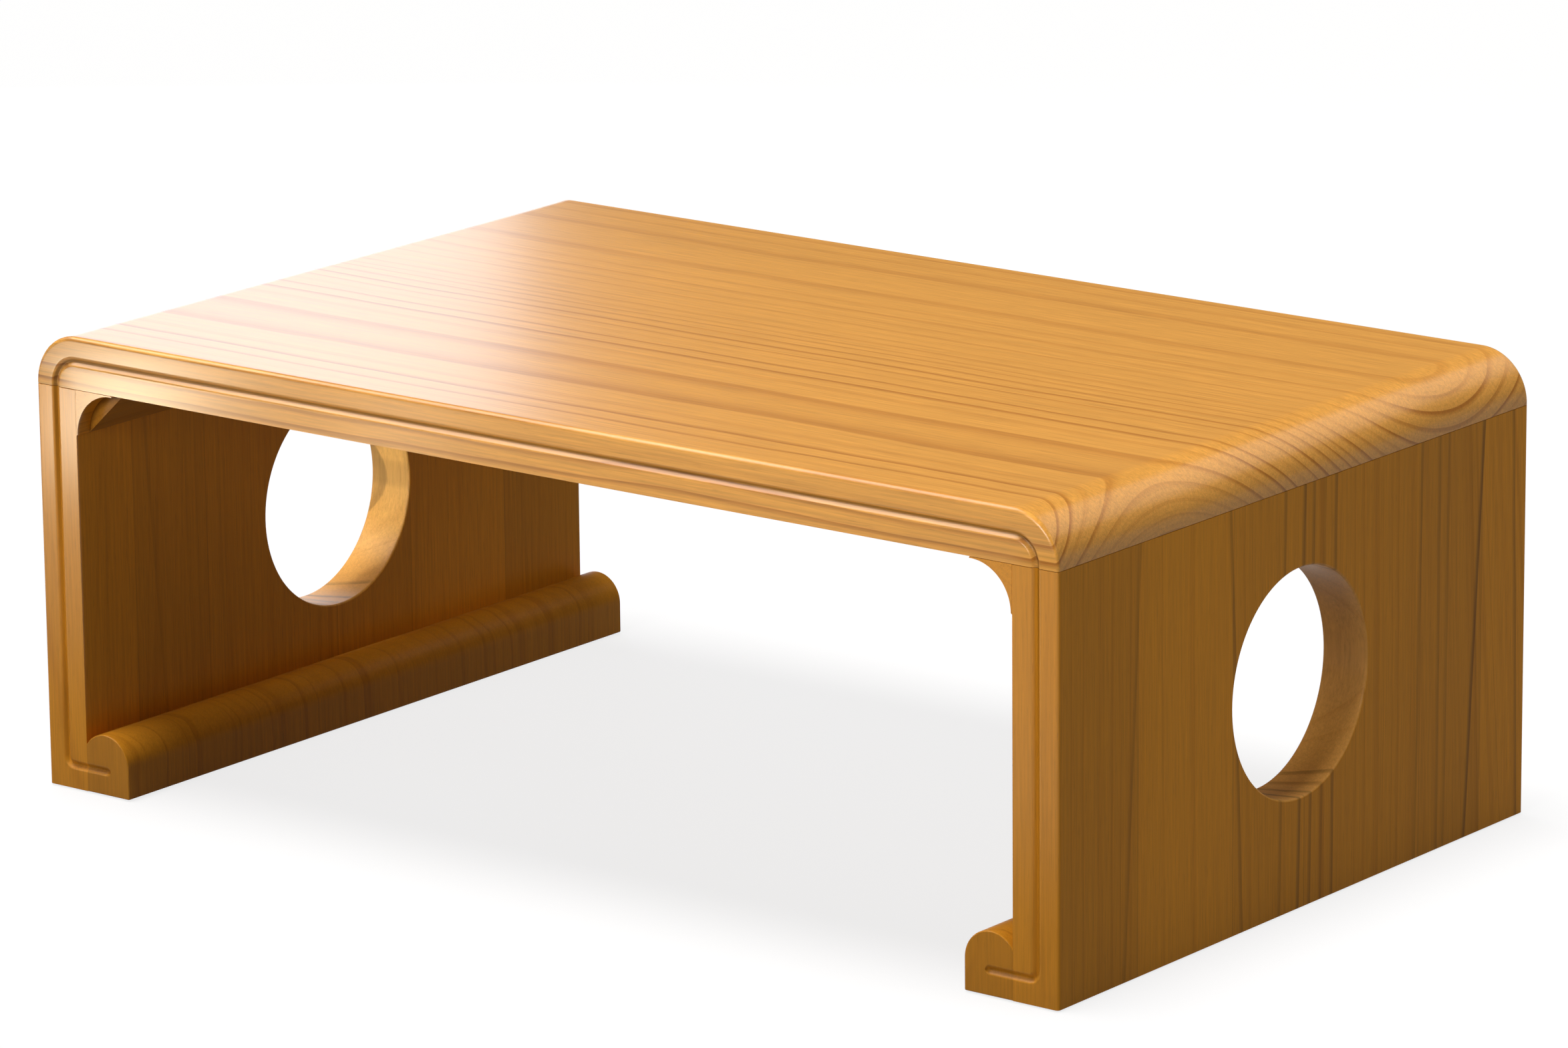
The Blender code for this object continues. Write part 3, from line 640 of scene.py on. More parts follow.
# The long faces are painted paler, as painted light.
top_tone = (1 - GROOVE_PAINTED_SHADE * top_line_shade) * (1 + FACE_PAINTED_LIGHT * near_face(top_y, *FACE_RIM))
top_coat = TOP_COAT * (1 - SHADE_DULL * top_line_shade) * (1 - SEAM_DULL * by_seam)
top_contrast = FRONT_CONTRAST - CONTRAST_FADE * smooth_step(top_y, *CONTRAST_ZONE)
end_grain = toward_end * (1 - smooth_step(above, *END_GRAIN_ZONE))
top_contrast = top_contrast + (END_CONTRAST - top_contrast) * end_grain
top_looks = (TOP_GRAIN, top_tone, (HONEY, AMBER), top_coat, TOP_GLOSS)
lacquered(top_point, ALONG_X, top_rings, top_contrast, *top_looks)
top_mesh = new_mesh("tabletop_slab", top_shape, top_finish)
add_piece("tabletop_slab", top_mesh, Matrix.Identity(4), "tabletop", "top_panel")

# Side panels: one under each end of the top, glued up from six upright boards, with a round hole cut through.
# Their outer edges are eased, the carved line runs down the front and back edges and turns in along the foot,
# and they are finished in the same lacquer, rubbed duller.
panel_low, panel_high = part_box("right_side_panel")
PANEL_OUTER_EDGE = 0.0022
PANEL_INNER_EDGE = 0.0003
PANEL_RIM = 0.00025
PANEL_RIM_STEPS = 2
EDGE_ARC_STEPS = 5
HOLE_RADIUS = 0.072
HOLE_LEVEL = 0.143
HOLE_EASE = 0.0014
HOLE_OPEN = 0.00002  # how far past the face its easing begins
HOLE_SIDES = 112
HOLE_EASE_STEPS = 4
GROOVE_BEND = 0.005
GROOVE_BEND_STEPS = 7
GROOVE_END = 0.053  # inset at which the line runs out along the foot
GROOVE_RUN_OUT = 0.0036
GROOVE_RUN_OUT_TURN = math.radians(88)  # short of square, so that its cutter closes with a small face
GROOVE_RUN_OUT_STEPS = 6
DOWEL_SIDES = 24
BOARD_JOINTS = (-0.170, -0.072, 0.004, 0.130, 0.199)
BOARD_TONES = (0.97, 1.14, 1.03, 1.00, 0.93, 1.10)
BOARD_PITCHES = (0.0090, 0.0200, 0.0330, 0.0105, 0.0120, 0.0300)
BOARD_STARTS = (-0.2505, -0.176, -0.053, 0.004, 0.161, 0.199)
BOARD_CONTRASTS = (0.30, 0.22, 0.35, 0.35, 0.35, 0.45)
BOARD_SLANTS = (0.00, 0.01, 0.03, 0.00, 0.05, 0.10)
LATE_LINES = (
    (-0.169, -0.181, 0.24),
    (-0.073, -0.063, 0.34),
    (-0.017, -0.021, 0.30),
    (0.003, -0.001, 0.44),
    (0.013, 0.011, 0.34),
    (0.025, 0.023, 0.20),
    (0.037, 0.035, 0.36),
    (0.131, 0.127, 0.26),
    (0.151, 0.151, 0.26),
    (0.161, 0.159, 0.22),
    (0.199, 0.185, 0.52),
    (0.235, 0.241, 0.36),
)  # the strongest lines of late wood: where each lies over the hole and under it, and how dark it is
LINE_LOW = 0.040  # the heights under and over the hole at which they were laid out
LINE_HIGH = 0.235
LINE_BAR = (-0.0040, -0.0004, 0.0004, 0.0012)  # where one begins, is full, fades and ends across the grain
LINE_TREMBLE = 0.6  # how much of the grain's tremble they follow
LINE_INSIDE = 0.75  # how much of them is lost on the panel's inside
PANEL_SWAY = (0.010, (6.0, 6.0, 2.2))
PANEL_TREMBLE = (0.0025, (40.0, 40.0, 9.0))
PANEL_UNEVEN = (4.0, 44.0)
GLUE_LINE = (0.0002, 0.0009)  # how far from a joint its glue line is full, and ends
GLUE_SHADE = 0.16
UPRIGHT_START = (0.012, 0.017)  # the heights at which the upright line's painted shade begins and is full
UPRIGHT_LOW = 0.30  # how much painted shade it holds low down, and between which heights that grows
UPRIGHT_GROWTH = (0.12, 0.26)
FOOT_START = (0.014, 0.018)  # the insets at which the foot line's painted shade begins and is full
INSIDE_RIM = (0.001, 0.004)
INSIDE_FADE = 0.5  # how much fainter the rings are on the inside, and in the hole
COAT_GROWTH = (0.03, 0.15)  # the heights between which the edges' lacquer thickens
BOARD_SKEW = 0.35  # how far a ring moves along the panel on its way through it
PANEL_EARLY = (0.665, 0.264, 0.018, 1.0)
PANEL_LATE = (0.36, 0.112, 0.006, 1.0)
# The hole's wall is painted paler than the panel, as painted light.
HOLE_PAINTED_LIGHT = (0.68, 0.33, 0.075, 1.0)
PANEL_GRAIN = 0.34
FOOT_SHADE = 0.12  # how much of the painted shade the line along the foot holds
PANEL_COAT = 0.03
EDGE_COAT = 0.80
FOOT_COAT = 0.20
HOLE_COAT = 0.25
PANEL_GLOSS = (0.25, 0.05)


def prism(outline, low, high, stand=lambda x, y, z: (x, y, z)):
    """A flat outline of (u, v) points drawn out from low to high. stand(u, v, along) places a point."""
    shape = bmesh.new()
    rims = []
    for along in (low, high):
        rims.append([shape.verts.new(stand(u, v, along)) for u, v in outline])
    for rim in rims:
        shape.faces.new(rim)
    for number, here in enumerate(rims[0]):
        after = (number + 1) % len(outline)
        shape.faces.new((here, rims[0][after], rims[1][after], rims[1][number]))
    bmesh.ops.recalc_face_normals(shape, faces=shape.faces)
    return shape


def groove_cutter(face):
    """The carved line of the right leg as a cutter for its front (-1) or back (1) face."""
    foot = panel_low.z + GROOVE_INSET
    turn = GROOVE_INSET + GROOVE_BEND
    path = [(Vector((GROOVE_INSET, panel_high.z + OVERCUT)), 1.0)]
    bend = arc((turn, foot + GROOVE_BEND), GROOVE_BEND, 180, 270, GROOVE_BEND_STEPS)
    path += [(spot, 1.0) for spot in bend]
    for step in range(GROOVE_RUN_OUT_STEPS + 1):
        angle = GROOVE_RUN_OUT_TURN * step / GROOVE_RUN_OUT_STEPS
        inset = GROOVE_END - GROOVE_RUN_OUT * (1 - math.sin(angle))
        path.append((Vector((inset, foot)), math.cos(angle)))
    shape = bmesh.new()
    rings = []
    for number, (spot, size) in enumerate(path):
        before = path[max(number - 1, 0)][0]
        after = path[min(number + 1, len(path) - 1)][0]
        run = (after - before).normalized()
        square = Vector((-run.y, run.x))
        section = [(across * size, (depth or -FIT) * size) for across, depth in groove_section()]
        section += [(GROOVE_REACH * size, -OVERCUT), (-GROOVE_REACH * size, -OVERCUT)]
        ring = []
        for across, depth in section:
            place = spot + square * across
            ring.append(shape.verts.new((half_length - place.x, face * (half_depth - depth), place.y)))
        rings.append(ring)
    for ring, following in zip(rings, rings[1:]):
        for number in range(len(ring)):
            after = (number + 1) % len(ring)
            shape.faces.new((ring[number], ring[after], following[after], following[number]))
    shape.faces.new(rings[0])
    shape.faces.new(rings[-1])
    bmesh.ops.recalc_face_normals(shape, faces=shape.faces)
    return shape


def dowel_hole(node):
    """A cutter for the hole that a dowel along X sits in."""
    low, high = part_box(node)
    radius = (high.z - low.z) / 2 + FIT
    reach = (high.x - low.x) / 2 + FIT
    place = Matrix.Translation((low + high) / 2) @ Matrix.Rotation(math.pi / 2, 4, "Y")
    return turned(rod(radius, -reach, reach), DOWEL_SIDES, place)


def by_board(y, values):
    """The value for the board that a place lies in, from one value for each board."""
    chosen = values[0]
    for joint, before, after in zip(BOARD_JOINTS, values, values[1:]):
        chosen = y.maths("GREATER_THAN", y, joint) * (after - before) + chosen
    return chosen


panel_outline = []
for x, y, radius, start in (
    (panel_high.x, -half_depth, PANEL_OUTER_EDGE, 270),
    (panel_high.x, half_depth, PANEL_OUTER_EDGE, 0),
    (panel_low.x, half_depth, PANEL_INNER_EDGE, 90),
    (panel_low.x, -half_depth, PANEL_INNER_EDGE, 180),
):
    turn = math.radians(start + 45)
    centre = (x - math.copysign(radius, math.cos(turn)), y - math.copysign(radius, math.sin(turn)))
    panel_outline += arc(centre, radius, start, start + 90, EDGE_ARC_STEPS)
panel_shape = prism(panel_outline, panel_low.z, panel_high.z)
ease(panel_shape, PANEL_RIM, PANEL_RIM_STEPS, lambda a, b: abs(a.z - b.z) < FIT)

hole_profile = [(HOLE_RADIUS + HOLE_EASE, panel_low.x - OVERCUT)]
for face, start, end in ((panel_low.x, 90, 180), (panel_high.x, 180, 270)):
    toward = 1 if face == panel_low.x else -1
    centre = (HOLE_RADIUS + HOLE_EASE, face + toward * (HOLE_EASE - HOLE_OPEN))
    rim = arc((0, 0), HOLE_EASE, start, end, HOLE_EASE_STEPS)
    hole_profile += [(centre[0] + spot.x, centre[1] - spot.y) for spot in rim]
hole_profile.append((HOLE_RADIUS + HOLE_EASE, panel_high.x + OVERCUT))
lay_down = Matrix.Translation((0, 0, HOLE_LEVEL)) @ Matrix.Rotation(math.pi / 2, 4, "Y")
panel_cutters = [turned(hole_profile, HOLE_SIDES, lay_down), groove_cutter(-1), groove_cutter(1)]
for end, toward in ENDS:
    strike = f"right_{end}_catch_strike"
    spot = middle_of(strike)
    radius = size_of(strike).x / 2 + FIT
    floor_level = -size_of(strike).z - FIT
    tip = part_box(f"right_{end}_catch_screw")[0].z - panel_high.z - FIT
    recess = [(0, OVERCUT), (radius, OVERCUT), (radius, floor_level)]
    recess += [(PILOT_RADIUS, floor_level), (PILOT_RADIUS, tip), (0, tip)]
    panel_cutters.append(turned(recess, BORE_SIDES, Matrix.Translation((spot.x, spot.y, panel_high.z))))
    pad = f"right_{end}_foot_pad"
    panel_cutters.append(bored(pad, 0, size_of(pad).x / 2 + FIT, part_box(pad)[1].z + FIT, BORE_SIDES))
    panel_cutters.append(dowel_hole(f"right_{end}_rail_dowel"))
    panel_cutters.append(dowel_hole(f"right_{end}_block_dowel"))
panel_shape = carved(panel_shape, *panel_cutters)

panel_finish = Finish("panel_wood")
panel_point, panel_x, panel_y, panel_z = place_in(panel_finish)
from_outside = half_length - panel_x
from_foot = panel_z - panel_low.z
skew = BOARD_SKEW * from_outside
sway = swing(panel_point, *PANEL_SWAY)
tremble = swing(panel_point, *PANEL_TREMBLE)
lean = by_board(panel_y, BOARD_SLANTS) * (panel_z - panel_high.z)
ring_place = panel_y + sway + tremble + lean + skew - by_board(panel_y, BOARD_STARTS)
panel_rings = ring_place / by_board(panel_y, BOARD_PITCHES) + RING_PEAK
panel_rings = panel_rings + unevenness(ring_place, *PANEL_UNEVEN)
glue_line = 0.0
for joint in BOARD_JOINTS:
    glue_line = glue_line + (1 - smooth_step(abs(panel_y - joint), *GLUE_LINE))
# Painted shade in the carved line down the upright edges and along the foot.
upright_painted_shade = painted_line_shade(panel_y, from_outside, LEG_SHADE_SHIFT) * smooth_step(from_foot, *UPRIGHT_START)
upright_painted_shade = upright_painted_shade * (UPRIGHT_LOW + (1 - UPRIGHT_LOW) * smooth_step(from_foot, *UPRIGHT_GROWTH))
foot_painted_shade = FOOT_SHADE * painted_line_shade(panel_y, from_foot, 0.0) * smooth_step(from_outside, *FOOT_START)
foot_painted_shade = foot_painted_shade * (1 - smooth_step(from_outside, GROOVE_END - GROOVE_RUN_OUT, GROOVE_END))
panel_line_shade = upright_painted_shade.maths("MAXIMUM", upright_painted_shade, foot_painted_shade)
panel_tone = by_board(panel_y, BOARD_TONES) * (1 - GLUE_SHADE * glue_line) * (1 - GROOVE_PAINTED_SHADE * panel_line_shade)
inside = 1 - smooth_step(panel_x - panel_low.x, *INSIDE_RIM)
line_rise = (from_foot - LINE_LOW) / (LINE_HIGH - LINE_LOW)
line_place = panel_y + LINE_TREMBLE * tremble + skew
for over, under, depth in LATE_LINES:
    late_line = bar(line_place - under - (over - under) * line_rise, *LINE_BAR)
    panel_tone = panel_tone * (1 - depth * late_line * (1 - LINE_INSIDE * inside))
edge_coat = FOOT_COAT + (EDGE_COAT - FOOT_COAT) * smooth_step(from_foot, *COAT_GROWTH)
hole_rise = panel_z - HOLE_LEVEL
from_hole = panel_y * panel_y + hole_rise * hole_rise
from_hole = from_hole.maths("SQRT", from_hole)
# Where the hole's wall gets its paler colour of painted light.
in_hole = 1 - smooth_step(from_hole, HOLE_RADIUS, HOLE_RADIUS + HOLE_EASE)
panel_wood = (mixed(in_hole, PANEL_EARLY, HOLE_PAINTED_LIGHT), PANEL_LATE)
panel_contrast = by_board(panel_y, BOARD_CONTRASTS) * (1 - INSIDE_FADE * inside) * (1 - INSIDE_FADE * in_hole)
panel_coat = PANEL_COAT + (edge_coat - PANEL_COAT) * near_face(panel_y, *FACE_RIM)
panel_coat = panel_coat + (HOLE_COAT - PANEL_COAT) * in_hole
panel_coat = panel_coat * (1 - SHADE_DULL * panel_line_shade)
panel_looks = (PANEL_GRAIN, panel_tone, panel_wood, panel_coat, PANEL_GLOSS)
lacquered(panel_point, ALONG_Z, panel_rings, panel_contrast, *panel_looks)
panel_mesh = new_mesh("side_board", panel_shape, panel_finish)
add_pair("side_board", panel_mesh, "side_panel")

# Foot rails: a round-topped bead along the inside of each side panel's foot, which widens the leg's stand.
# They are cut from the same wood with the grain upright, painted darker as painted shade, dowelled and glued
# on, and the line ends in them.
rail_low, rail_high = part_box("right_foot_rail")
RAIL_ROUND = 0.0195  # radius of its top, which runs into the side panel
RAIL_STEPS = 28
RAIL_EASE = 0.0009
RAIL_EASE_STEPS = 3
RAIL_RING_PITCH = 0.0150
RAIL_SWAY = (0.016, (30.0, 8.0, 12.0))
RAIL_TREMBLE = (0.002, (60.0, 40.0, 12.0))
RAIL_UNEVEN = (3.0, 44.0)
RAIL_CONTRAST = 0.45
END_FADE = 0.7  # how much fainter the rings are on an end
# How much darker the rail's wood is painted than the panel's, as painted shade.
RAIL_PAINTED_SHADE = 0.16
RAIL_COAT = 0.08


def on_rail_edge(a, b):
    """The rail's end edges, except against the side panel, and its inner foot edge."""
    at_end = abs(a.y - b.y) < FIT and min(a.x, b.x) < panel_low.x - FIT
    at_foot = max(a.x, b.x) < rail_low.x + FIT and max(a.z, b.z) < rail_low.z + FIT
    return at_end or at_foot


rail_crown = (rail_low.x + RAIL_ROUND, rail_high.z - RAIL_ROUND)
rail_meeting = math.degrees(math.acos((panel_low.x - rail_crown[0]) / RAIL_ROUND))
rail_outline = [Vector((rail_low.x, rail_low.z)), Vector((panel_low.x, rail_low.z))]
rail_outline += arc(rail_crown, RAIL_ROUND, rail_meeting, 180, RAIL_STEPS)
rail_shape = prism(rail_outline, -half_depth, half_depth, lambda x, z, y: (x, y, z))
ease(rail_shape, RAIL_EASE, RAIL_EASE_STEPS, on_rail_edge)
rail_holes = [dowel_hole(f"right_{end}_rail_dowel") for end, toward in ENDS]
rail_shape = carved(rail_shape, groove_cutter(-1), groove_cutter(1), *rail_holes)

rail_finish = Finish("rail_wood")
rail_point, rail_x, rail_y, rail_z = place_in(rail_finish)
rail_inset = half_length - rail_x
sway = swing(rail_point, *RAIL_SWAY)
tremble = swing(rail_point, *RAIL_TREMBLE)
rail_place = rail_y + sway + tremble + BOARD_SKEW * rail_inset
rail_rings = rail_place / RAIL_RING_PITCH + unevenness(rail_place, *RAIL_UNEVEN)
# Painted shade in the carved line where it ends in the rail.
rail_painted_shade = FOOT_SHADE * painted_line_shade(rail_y, rail_z - rail_low.z, 0.0)
rail_painted_shade = rail_painted_shade * (1 - smooth_step(rail_inset, GROOVE_END - GROOVE_RUN_OUT, GROOVE_END))
on_rail_end = near_face(rail_y, *FACE_RIM)
# The rail's whole wood is painted darker, as painted shade.
rail_tone = (1 - GROOVE_PAINTED_SHADE * rail_painted_shade) * (1 - RAIL_PAINTED_SHADE)
rail_coat = RAIL_COAT + (FOOT_COAT - RAIL_COAT) * on_rail_end
rail_contrast = RAIL_CONTRAST * (1 - END_FADE * on_rail_end)
rail_wood = (PANEL_EARLY, PANEL_LATE)
rail_looks = (PANEL_GRAIN, rail_tone, rail_wood, rail_coat, PANEL_GLOSS)
lacquered(rail_point, ALONG_Z, rail_rings, rail_contrast, *rail_looks)
rail_mesh = new_mesh("foot_bead", rail_shape, rail_finish)
add_pair("foot_bead", rail_mesh, "foot_rail")

# Hinge blocks: three-cornered battens glued and dowelled into the corner under the top, to carry the hinges.
# They are of the same wood with the grain along them, painted darker as painted shade outside the coves, and
# hollowed to a quarter round cove at each end.
block_low, block_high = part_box("right_hinge_block")
axis_x, _, axis_z = [joint["pos_m"] for joint in frame["joints"] if joint["child"] == "right_leg"][0]
BARREL_RADIUS = 0.0026
LEAF_SEAT = BARREL_RADIUS + 0.0003
COVE_DEPTH = 0.012
COVE_LIP = 0.0008
COVE_SIDES = 128
COVE_RIM = (COVE_DEPTH - 0.0003, COVE_DEPTH - 0.0010)  # how deep in the cove the panel's own colour, free of the block's painted shade, begins and is full
BLOCK_RIM = (0.0020, 0.0006)
BLOCK_SWAY = (0.006, (20.0, 3.0, 20.0))
BLOCK_RING_PITCH = 0.0052
BLOCK_RING_TILT = 0.6
BLOCK_CONTRAST = 0.45
# The block's wood is the panel's, painted darker as painted shade.
BLOCK_SHADED_EARLY = (0.38, 0.150, 0.015, 1.0)
BLOCK_SHADED_LATE = (0.26, 0.086, 0.007, 1.0)

slope_run = block_high.x - axis_x
slope_rise = axis_z - block_low.z
slope = math.atan2(slope_rise, slope_run) + math.asin(LEAF_SEAT / math.hypot(slope_run, slope_rise))
toe_level = block_low.z + (block_high.x - block_low.x) * math.tan(slope)
heel_level = block_low.z + (block_high.x - panel_low.x) * math.tan(slope)
block_outline = [Vector((panel_low.x, block_high.z)), Vector((block_low.x, block_high.z))]
block_outline += [Vector((block_low.x, toe_level)), Vector((panel_low.x, heel_level))]
block_shape = prism(block_outline, -half_depth, half_depth, lambda x, z, y: (x, y, z))
cove_radius = block_high.z - block_low.z - COVE_LIP
cove_x = panel_low.x - COVE_LIP - cove_radius
cove_z = block_high.z - COVE_LIP - cove_radius
block_cutters = []
for end, toward in ENDS:
    stand = Matrix.Translation((cove_x, toward * half_depth, cove_z)) @ Matrix.Rotation(math.pi / 2, 4, "X")
    block_cutters.append(turned(rod(cove_radius, -COVE_DEPTH, COVE_DEPTH), COVE_SIDES, stand))
    block_cutters.append(dowel_hole(f"right_{end}_block_dowel"))
block_shape = carved(block_shape, *block_cutters)

block_finish = Finish("block_wood")
block_point, block_x, block_y, block_z = place_in(block_finish)
block_rings = (block_x * BLOCK_RING_TILT + block_z + swing(block_point, *BLOCK_SWAY)) / BLOCK_RING_PITCH
on_block_end = near_face(block_y, *BLOCK_RIM)
block_wood = (mixed(near_face(block_y, *COVE_RIM), BLOCK_SHADED_EARLY, PANEL_EARLY), BLOCK_SHADED_LATE)
block_coat = PANEL_COAT + (EDGE_COAT - PANEL_COAT) * on_block_end
block_contrast = BLOCK_CONTRAST * (1 - END_FADE * on_block_end)
block_looks = (PANEL_GRAIN, 1.0, block_wood, block_coat, PANEL_GLOSS)
lacquered(block_point, ALONG_Y, block_rings, block_contrast, *block_looks)
block_mesh = new_mesh("hinge_batten", block_shape, block_finish)
add_pair("hinge_batten", block_mesh, "hinge_block")

# Dowels: plain beech pegs, glued into the side panels and into the rails and blocks that stand against them.
# Each is a turned length of rod with its ends chamfered, so that it starts in its hole.
DOWEL_CHAMFER = 0.0008
BEECH = (0.66, 0.45, 0.26, 1.0)
BEECH_FLECK = (0.44, 0.26, 0.13, 1.0)
FLECKS = (260.0, 2400.0, 1.0)
FLECK_RIM = (0.56, 0.70)
FLECK_RELIEF = (0.15, 0.0001)
DOWEL_ROUGHNESS = 0.62
FLECK_GLOSS = 0.10

dowel_finish = Finish("dowel_wood")
dowel_point = dowel_finish.node("ShaderNodeTexCoord", output="Object")
flecks = smooth_step(drawn_out(dowel_point, ALONG_Z, *FLECKS), *FLECK_RIM)
dowel_sockets = {
    "Base Color": mixed(flecks, BEECH, BEECH_FLECK),
    "Roughness": DOWEL_ROUGHNESS - FLECK_GLOSS * flecks,
    "Normal": relief(flecks, *FLECK_RELIEF),
}
surfaced(dowel_finish, dowel_sockets)
for kind in ("rail", "block"):
    dowel_size = size_of(f"right_front_{kind}_dowel")
    radius = dowel_size.z / 2
    reach = dowel_size.x / 2
    neck = radius - DOWEL_CHAMFER
    profile = [(0, -reach), (neck, -reach), (radius, DOWEL_CHAMFER - reach)]
    profile += [(radius, reach - DOWEL_CHAMFER), (neck, reach), (0, reach)]
    dowel_mesh = new_mesh(f"{kind}_peg", turned(profile, DOWEL_SIDES), dowel_finish)
    for corner, side, turn in CORNERS:
        node = f"{corner}_{kind}_dowel"
        place = Matrix.Translation(middle_of(node)) @ Matrix.Rotation(math.pi / 2, 4, "Y")
        add_piece(f"{corner}_{kind}_peg", dowel_mesh, place, f"{side}_leg", node)

# Hinges: two steel butt hinges to each leg, one leaf screwed under the top and one on the block's slope.
# The leaves are pressed from sheet and rolled round a headed pin, five knuckles to a hinge, then brushed.
HINGE_KNUCKLES = 5
KNUCKLE_GAP = 0.0004
LEAF_WIDTH = 0.022
LEAF_THICKNESS = 0.0015
LEAF_EASE = 0.00025
LEAF_EASE_STEPS = 2
PLATE_START = 0.0039  # how far from the axis a leaf's edges are eased
BARREL_STEPS = 26
PIN_RADIUS = 0.0012
PIN_BORE = PIN_RADIUS + 0.0001
PIN_HEAD_RADIUS = 0.0021
PIN_HEAD_HEIGHT = 0.0010
PIN_HEAD_EASE = 0.0003
PIN_SIDES = 24
SCREW_REACH = 0.0145  # hinge axis to its screws
SCREW_HEAD_RADIUS = 0.0029
SCREW_HEAD_HEIGHT = 0.0013
SCREW_SHANK_RADIUS = 0.0015
SCREW_SIDES = 32
STEEL = (0.60, 0.59, 0.57, 1.0)
STEEL_DARK = (0.44, 0.43, 0.42, 1.0)
STEEL_BRUSHING = ((2600.0, 2600.0, 60.0), 0.34, 0.30)  # marks to a metre, roughness, and relief
MARK_DETAIL = 3.0
MARK_SHADE = 0.55
MARK_ROUGHNESS = 0.16
MARK_DEPTH = 0.00005
TARNISH = (90.0, 90.0, 90.0)
TARNISH_SHADE = 0.35
TARNISH_ROUGHNESS = 0.10


def metal(name, colours, stretch, roughness, scratch):
    """A metal finish: fine marks drawn out along the way it was brushed, in its colour, gloss and relief."""
    finish = Finish(name)
    point = finish.node("ShaderNodeTexCoord", output="Object")
    marks = stretched_noise(point, stretch, MARK_DETAIL)
    tarnish = stretched_noise(point, TARNISH)
    sockets = {
        "Base Color": mixed(MARK_SHADE * marks + TARNISH_SHADE * tarnish, *colours),
        "Metallic": 1.0,
        "Roughness": roughness + MARK_ROUGHNESS * (marks - 0.5) + TARNISH_ROUGHNESS * (tarnish - 0.5),
        "Normal": relief(marks, scratch, MARK_DEPTH),
    }
    surfaced(finish, sockets)
    return finish


def leaf_shape(own_knuckles, length):
    """A hinge leaf: its barrel lies on Z, and its plate runs out along X at the barrel's Y side."""
    plate_inside = BARREL_RADIUS - LEAF_THICKNESS
    meeting = math.degrees(math.asin(plate_inside / BARREL_RADIUS))
    outline = [Vector((LEAF_WIDTH, BARREL_RADIUS)), Vector((LEAF_WIDTH, plate_inside))]
    outline += arc((0, 0), BARREL_RADIUS, meeting, -270, BARREL_STEPS)
    shape = prism(outline, -length / 2, length / 2)
    ease(shape, LEAF_EASE, LEAF_EASE_STEPS, lambda a, b: min(a.x, b.x) > PLATE_START)
    wide = SCREW_HEAD_RADIUS + FIT
    narrow = SCREW_SHANK_RADIUS + FIT
    low = -LEAF_THICKNESS - OVERCUT
    neck = -SCREW_HEAD_HEIGHT - FIT
    sink = [(0, OVERCUT), (wide, OVERCUT), (wide, 0), (narrow, neck), (narrow, low), (0, low)]
    sinks = [turned(sink, SCREW_SIDES, seat) for seat in screw_seats()]
    shape = carved(shape, turned(rod(PIN_BORE, -length, length), PIN_SIDES), *sinks)
    step = length / HINGE_KNUCKLES
    right = BARREL_RADIUS + KNUCKLE_GAP
    left = -BARREL_RADIUS - OVERCUT
    notch = [(left, left), (right, left), (right, -left), (left, -left)]
    notches = []
    for knuckle in range(HINGE_KNUCKLES):
        if knuckle not in own_knuckles:
            low = -length / 2 + knuckle * step - KNUCKLE_GAP / 2 - (OVERCUT if knuckle == 0 else 0)
            high = -length / 2 + (knuckle + 1) * step + KNUCKLE_GAP / 2
            high += OVERCUT if knuckle == HINGE_KNUCKLES - 1 else 0
            notches.append(prism(notch, low, high))
    return carved(shape, *notches)


def screw_seats():
    """Where the screws sit in a leaf, their heads flush with its plate and their Z pointing out."""
    head = BARREL_RADIUS - LEAF_THICKNESS
    turn = Matrix.Rotation(math.pi / 2, 4, "X")
    spacing = (middle_of("right_front_hinge_top_screw_1") - middle_of("right_front_hinge_top_screw_2")).length
    return [Matrix.Translation((SCREW_REACH, head, side * spacing / 2)) @ turn for side in (-1, 1)]


def on_axis(y, run, rise):
    """Lays a hinge piece on the right leg's axis, its X along run and its Y along rise."""
    turn = Matrix((run, rise, run.cross(rise))).transposed().to_4x4()
    return Matrix.Translation((axis_x, y, axis_z)) @ turn


steel_finish = metal("hinge_steel", (STEEL, STEEL_DARK), *STEEL_BRUSHING)
hinge_length = size_of("right_front_hinge_top_leaf").y
top_leaf_mesh = new_mesh("top_leaf", leaf_shape(range(0, HINGE_KNUCKLES, 2), hinge_length), steel_finish)
leg_leaf_mesh = new_mesh("leg_leaf", leaf_shape(range(1, HINGE_KNUCKLES, 2), hinge_length), steel_finish)
inner = hinge_length / 2 + KNUCKLE_GAP
outer = inner + PIN_HEAD_HEIGHT
pin_half = [(0, outer), (PIN_HEAD_RADIUS - PIN_HEAD_EASE, outer), (PIN_HEAD_RADIUS, outer - PIN_HEAD_EASE)]
pin_half += [(PIN_HEAD_RADIUS, inner), (PIN_RADIUS, inner)]
pin_profile = pin_half + [(radius, -z) for radius, z in reversed(pin_half)]
pin_mesh = new_mesh("pin", turned(pin_profile, PIN_SIDES), steel_finish)
under_top = (Vector((-1, 0, 0)), Vector((0, 0, 1)))
down_slope = (Vector((math.cos(slope), 0, -math.sin(slope))), Vector((math.sin(slope), 0, math.cos(slope))))
for corner, side, turn in CORNERS:
    hinge = f"{corner}_hinge"
    y = middle_of(f"{hinge}_pin").y * math.cos(turn)
    on_top = NODE_TURN[side] @ on_axis(y, *under_top)
    on_block = NODE_TURN[side] @ on_axis(y, *down_slope)
    add_piece(f"{corner}_upper_leaf", top_leaf_mesh, on_top, "tabletop", f"{hinge}_top_leaf")
    node = f"{hinge}_leg_leaf"
    add_piece(f"{corner}_lower_leaf", leg_leaf_mesh, on_block, f"{side}_leg", node)
    add_piece(f"{corner}_hinge_pintle", pin_mesh, on_top, "tabletop", f"{hinge}_pin")

